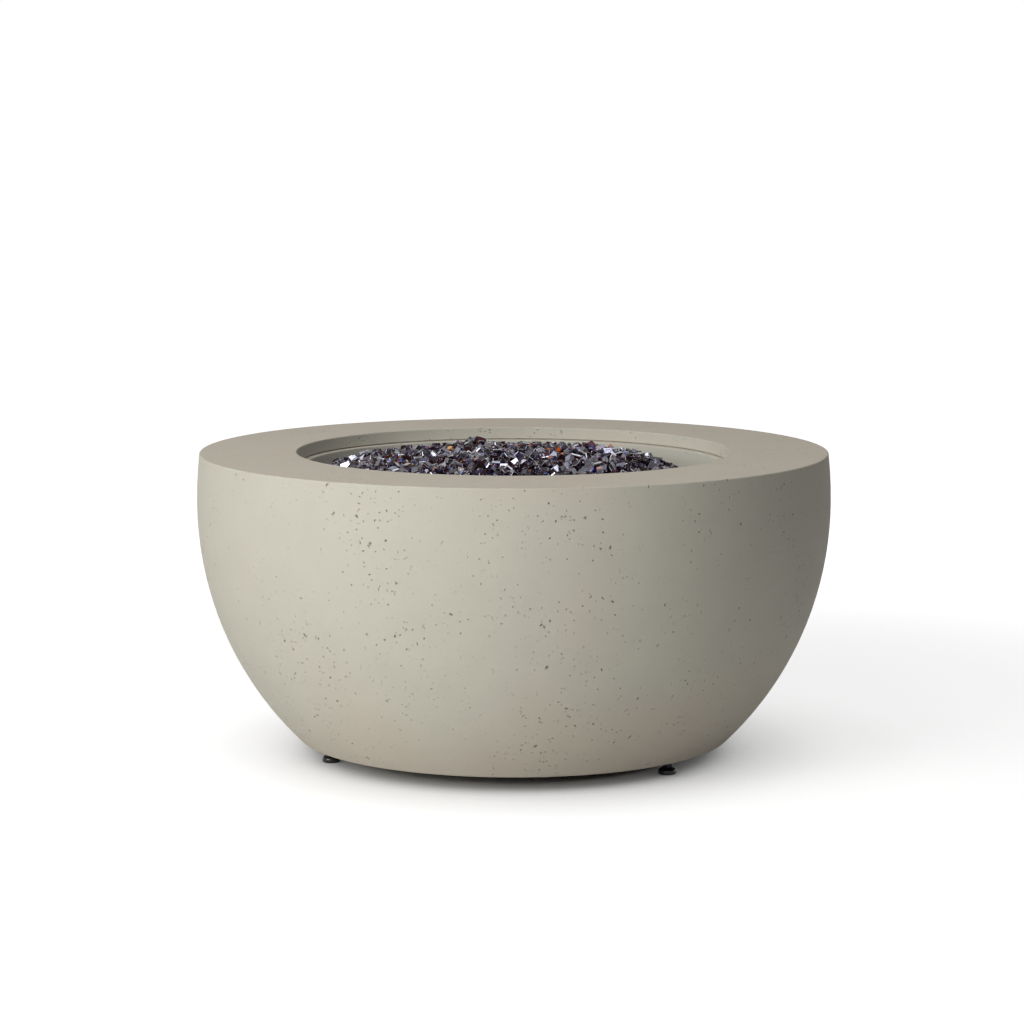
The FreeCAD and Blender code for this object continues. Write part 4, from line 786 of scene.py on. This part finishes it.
def inlet_union():
    """Brass bulkhead union on the bracket: pipe end, hexagon, locknut thread, flare thread, through bore."""
    low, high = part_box("inlet_fitting")
    middle = (low + high) / 2
    inward = -Vector((middle.x, middle.y, 0)).normalized()
    across = Vector((0, 0, 1)).cross(inward)
    turn = Matrix((across, inward.cross(across), inward)).transposed().to_4x4()
    start = middle - inward * (UNION_LENGTH * MM / 2 - UNION_BEHIND * MM)
    rings = [ring_at(*spot) for spot in UNION_TAIL]
    rings += hexagon_rings(*UNION_HEXAGON) + [ring_at(*UNION_SHOULDER)]
    rings += thread_rings(*LOCKNUT_THREAD) + [ring_at(*UNION_NECK)]
    rings += thread_rings(*FLARE_THREAD) + [ring_at(*spot) for spot in UNION_FLARE]
    union = rings_piece("supply_inlet_union", rings, BRASS, Matrix.Translation(start) @ turn, capped=False)
    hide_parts("inlet_fitting")
    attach(union, "bowl")


def wall_control(azimuth, height):
    """Frame on the bowl's outer wall: local +Z leaves the wall squarely."""
    drop = RIM_TOP - BELLY_DROP - height
    radius = BELLY_RADIUS * math.sqrt(1 - (drop / BOWL_DEPTH) ** 2)
    slope = math.atan2(drop / BOWL_DEPTH ** 2, radius / BELLY_RADIUS ** 2)
    angle = math.radians(azimuth)
    out = Vector((math.cos(angle) * math.cos(slope), math.sin(angle) * math.cos(slope), -math.sin(slope)))
    across = Vector((-math.sin(angle), math.cos(angle), 0))
    turn = Matrix((across, out.cross(across), out)).transposed().to_4x4()
    return Matrix.Translation((radius * math.cos(angle), radius * math.sin(angle), height)) @ turn


VALVE = wall_control(90, 144 * MM)
HOSE_CREST, HOSE_ROOT, HOSE_PITCH = 6.4 * MM, 5.4 * MM, 2.7 * MM
HOSE_CUFF = 9 * MM
HOSE_SIDES, HOSE_STEPS = 28, 6  # sides round it, and rings for each pitch
HOSE_ROUTE = [Vector((0, 114 * MM, 262 * MM)), Vector((0, 184 * MM, 262 * MM)), Vector((0, 231 * MM, 229 * MM)),
              VALVE @ Vector((0, 0, -136 * MM)), VALVE @ Vector((0, 0, -76 * MM))]


def gas_hose():
    """Annular corrugated stainless hose from the mixer's orifice to the valve, with plain cuffs."""
    curve = bpy.data.curves.new("hose_route", "CURVE")
    curve.dimensions = "3D"
    curve.resolution_u = 48
    spline = curve.splines.new("NURBS")
    spline.points.add(len(HOSE_ROUTE) - 1)
    for point, place in zip(spline.points, HOSE_ROUTE):
        point.co = (*place, 1)
    spline.order_u = 3
    spline.use_endpoint_u = True
    centreline = bpy.data.objects.new("hose_route", curve)
    sampled = bpy.data.meshes.new_from_object(centreline)
    line = np.array([v.co for v in sampled.vertices])
    bpy.data.objects.remove(centreline)
    bpy.data.meshes.remove(sampled)
    along = np.concatenate([[0], np.cumsum(np.linalg.norm(np.diff(line, axis=0), axis=1))])
    stations = np.linspace(0, along[-1], int(along[-1] / (HOSE_PITCH / HOSE_STEPS)))
    spots = np.stack([np.interp(stations, along, line[:, k]) for k in range(3)], axis=1)
    ahead = np.gradient(spots, axis=0)
    turns = [2 * math.pi * k / HOSE_SIDES for k in range(HOSE_SIDES)]
    rings = []
    for spot, direction, s in zip(spots, ahead, stations):
        side = Vector((1, 0, 0))
        other = Vector(direction).normalized().cross(side)
        cuffed = s < HOSE_CUFF or s > along[-1] - HOSE_CUFF
        wave = 0.0 if cuffed else 0.5 - 0.5 * math.cos(2 * math.pi * s / HOSE_PITCH)
        radius = HOSE_CREST + (HOSE_ROOT - HOSE_CREST) * wave
        rings.append([Vector(spot) + (side * math.cos(a) + other * math.sin(a)) * radius for a in turns])
    hose = rings_piece("corrugated_gas_hose", rings, STAINLESS, Matrix.Identity(4))
    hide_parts("burner_hose")
    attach(hose, "bowl")


def knob_pointer():
    """White line printed along the knob's ridge, in mm from the wall and from the knob's axis."""
    half_width, inner, outer, ridge, ink = 0.7, 3.0, 14.4, 33.8, 0.06
    points = [VALVE @ (Vector((side * half_width, reach, height)) * MM)
              for height in (ridge, ridge + ink)
              for side, reach in ((-1, inner), (1, inner), (1, outer), (-1, outer))]
    faces = [(0, 3, 2, 1), (4, 5, 6, 7), (0, 1, 5, 4), (1, 2, 6, 5), (2, 3, 7, 6), (3, 0, 4, 7)]
    line = mesh_piece("knob_pointer_line", points, faces, [PAINT])
    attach(line, "knob")


for number in FEET:
    levelling_stud(number)
inlet_union()
gas_hose()
knob_pointer()


# ---------------------------------------------------------------- floor and light

FLOOR_HALF = 12.0
FLOOR_LIT = 0.553  # diffuse grey that takes the lamps and their shadows
FLOOR_GLOW = 0.685  # light that the floor adds to that near the bowl
SWEEP = (0.9, 2.4)  # radii between which the floor rises to full white
BASE_PAINTED_SHADOW = (0.236, 0.311)  # radii where the floor comes out from under the base: its painted shadow fades
# painted shadow from ambient occlusion: how far the bowl darkens the floor's glow, close to it and faintly, the
# openness that turns black and the one that stays clear, and the power of the faint one's fade
CONTACT_REACH, CONTACT_SPAN = 0.06, (-0.1, 0.42)
HALO_REACH, HALO_SPAN, HALO_FADE = 0.30, (0.0, 0.58), 0.77
SHADE_SAMPLES = 12

# what reflections see: direction at one place and at another, and the brightness of each
ROOM_HEIGHT = (0.15, 0.6, 1.0, 0.18)  # top of the white sweep, ceiling
ROOM_DEPTH = (-0.4, 0.3, 0.3, 1.0)  # room in front, sweep behind
AMBIENT = 0.03


def seen_directly(tree):
    """1 where a ray from the camera, a reflection or a refraction looks, 0 for light that bounces; and the
    same for the camera alone."""
    rays = add(tree, "LightPath", out=None)
    glass = add(tree, "Math", [rays["Is Glossy Ray"], rays["Is Transmission Ray"]], operation="MAXIMUM")
    return add(tree, "Math", [rays["Is Camera Ray"], glass], operation="MAXIMUM"), rays["Is Camera Ray"]


def stage_floor():
    """White studio floor: white away from the bowl; near it the lamps' soft shadows and a painted contact shadow.
    """
    painted, tree, shader = material("studio_floor", linear("#E6E6E6"), 0.9)
    corners = [(x * FLOOR_HALF, y * FLOOR_HALF, 0) for x, y in ((-1, -1), (1, -1), (1, 1), (-1, 1))]
    floor = mesh_piece("floor", corners, [(0, 1, 2, 3)], [painted])
    where = add(tree, "TexCoord", out="Object")
    radius = add(tree, "VectorMath", [where], out="Value", operation="LENGTH")
    open_floor = add(tree, "MapRange", [radius, *SWEEP, FLOOR_GLOW, 1.0], interpolation_type="SMOOTHSTEP")
    # painted shadow: ambient occlusion darkens the floor's glow close to the bowl, and faintly further off
    contact = add(tree, "AmbientOcclusion", {"Distance": CONTACT_REACH}, out="AO", samples=SHADE_SAMPLES)
    contact = add(tree, "MapRange", [contact, *CONTACT_SPAN, 0, 1])
    halo = add(tree, "AmbientOcclusion", {"Distance": HALO_REACH}, out="AO", samples=SHADE_SAMPLES)
    halo = add(tree, "MapRange", [halo, *HALO_SPAN, 0, 1])
    halo = add(tree, "Math", [halo, HALO_FADE], operation="POWER")
    # painted shadow: the glow fades out under the base
    uncovered = add(tree, "MapRange", [radius, *BASE_PAINTED_SHADOW, 0, 1], interpolation_type="SMOOTHSTEP")
    unblocked = add(tree, "Math", [contact, halo], operation="MULTIPLY")
    unblocked = add(tree, "Math", [unblocked, uncovered], operation="MULTIPLY")
    glow = add(tree, "Math", [open_floor, unblocked], operation="MULTIPLY")
    lit = add(tree, "BsdfDiffuse", {"Color": (FLOOR_LIT, FLOOR_LIT, FLOOR_LIT, 1)})
    shown = add(tree, "AddShader", [lit, add(tree, "Emission", {"Strength": glow})])
    seen, _ = seen_directly(tree)
    mixed = add(tree, "MixShader", [seen, shader.outputs["BSDF"], shown])
    tree.links.new(mixed, tree.nodes["Material Output"].inputs["Surface"])


def stage_world():
    """White to the camera. Reflections see a white sweep near the horizon behind the bowl, a dim ceiling
    and the darker room in front."""
    world = bpy.data.worlds.new("studio")
    bpy.context.scene.world = world
    world.use_nodes = True
    tree = world.node_tree
    tree.nodes.clear()
    _, rearward, upward = add(tree, "SeparateXYZ", [add(tree, "TexCoord", out="Generated")], out=None)
    sweep = add(tree, "MapRange", [upward, *ROOM_HEIGHT], interpolation_type="SMOOTHSTEP")
    behind = add(tree, "MapRange", [rearward, *ROOM_DEPTH], interpolation_type="SMOOTHSTEP")
    sweep = add(tree, "Math", [sweep, behind], operation="MULTIPLY")
    seen, camera_ray = seen_directly(tree)
    white = add(tree, "Background", {"Color": (1, 1, 1, 1), "Strength": 1.0})
    mirrored = add(tree, "Background", {"Color": (1, 1, 1, 1), "Strength": sweep})
    ambient = add(tree, "Background", {"Color": (1, 1, 1, 1), "Strength": AMBIENT})
    shown = add(tree, "MixShader", [seen, ambient, mirrored])
    shown = add(tree, "MixShader", [camera_ray, shown, white])
    tree.links.new(shown, tree.nodes.new("ShaderNodeOutputWorld").inputs["Surface"])


LAMP_DISTANCE, LAMP_SIZE, LAMP_AIM = 4.2, 2.0, Vector((0, 0, 0.25))
# name, azimuth and elevation in degrees, and watts; azimuth 0 is the front, and it grows to the right
LAMPS = (
    ("key", -45, 20, 82),
    ("front", -18, 20, 34.5),
    ("high_left", -45, 50, 24),
    ("overhead", 0, 89, 39.5),
    ("rear_left", -125, 50, 17),
    ("rear_right", 120, 50, 11),
)


def softbox(name, azimuth, elevation, watts):
    """Square softbox aimed at the bowl."""
    a, e = math.radians(azimuth), math.radians(elevation)
    light = bpy.data.lights.new(name, "AREA")
    light.shape = "SQUARE"
    light.size = LAMP_SIZE
    light.energy = watts
    lamp = bpy.data.objects.new(name, light)
    away = Vector((math.cos(e) * math.sin(a), -math.cos(e) * math.cos(a), math.sin(e)))
    lamp.location = LAMP_AIM + away * LAMP_DISTANCE
    lamp.rotation_euler = away.to_track_quat("Z", "Y").to_euler()
    bpy.context.scene.collection.objects.link(lamp)


stage_floor()
stage_world()
for lamp in LAMPS:
    softbox(*lamp)
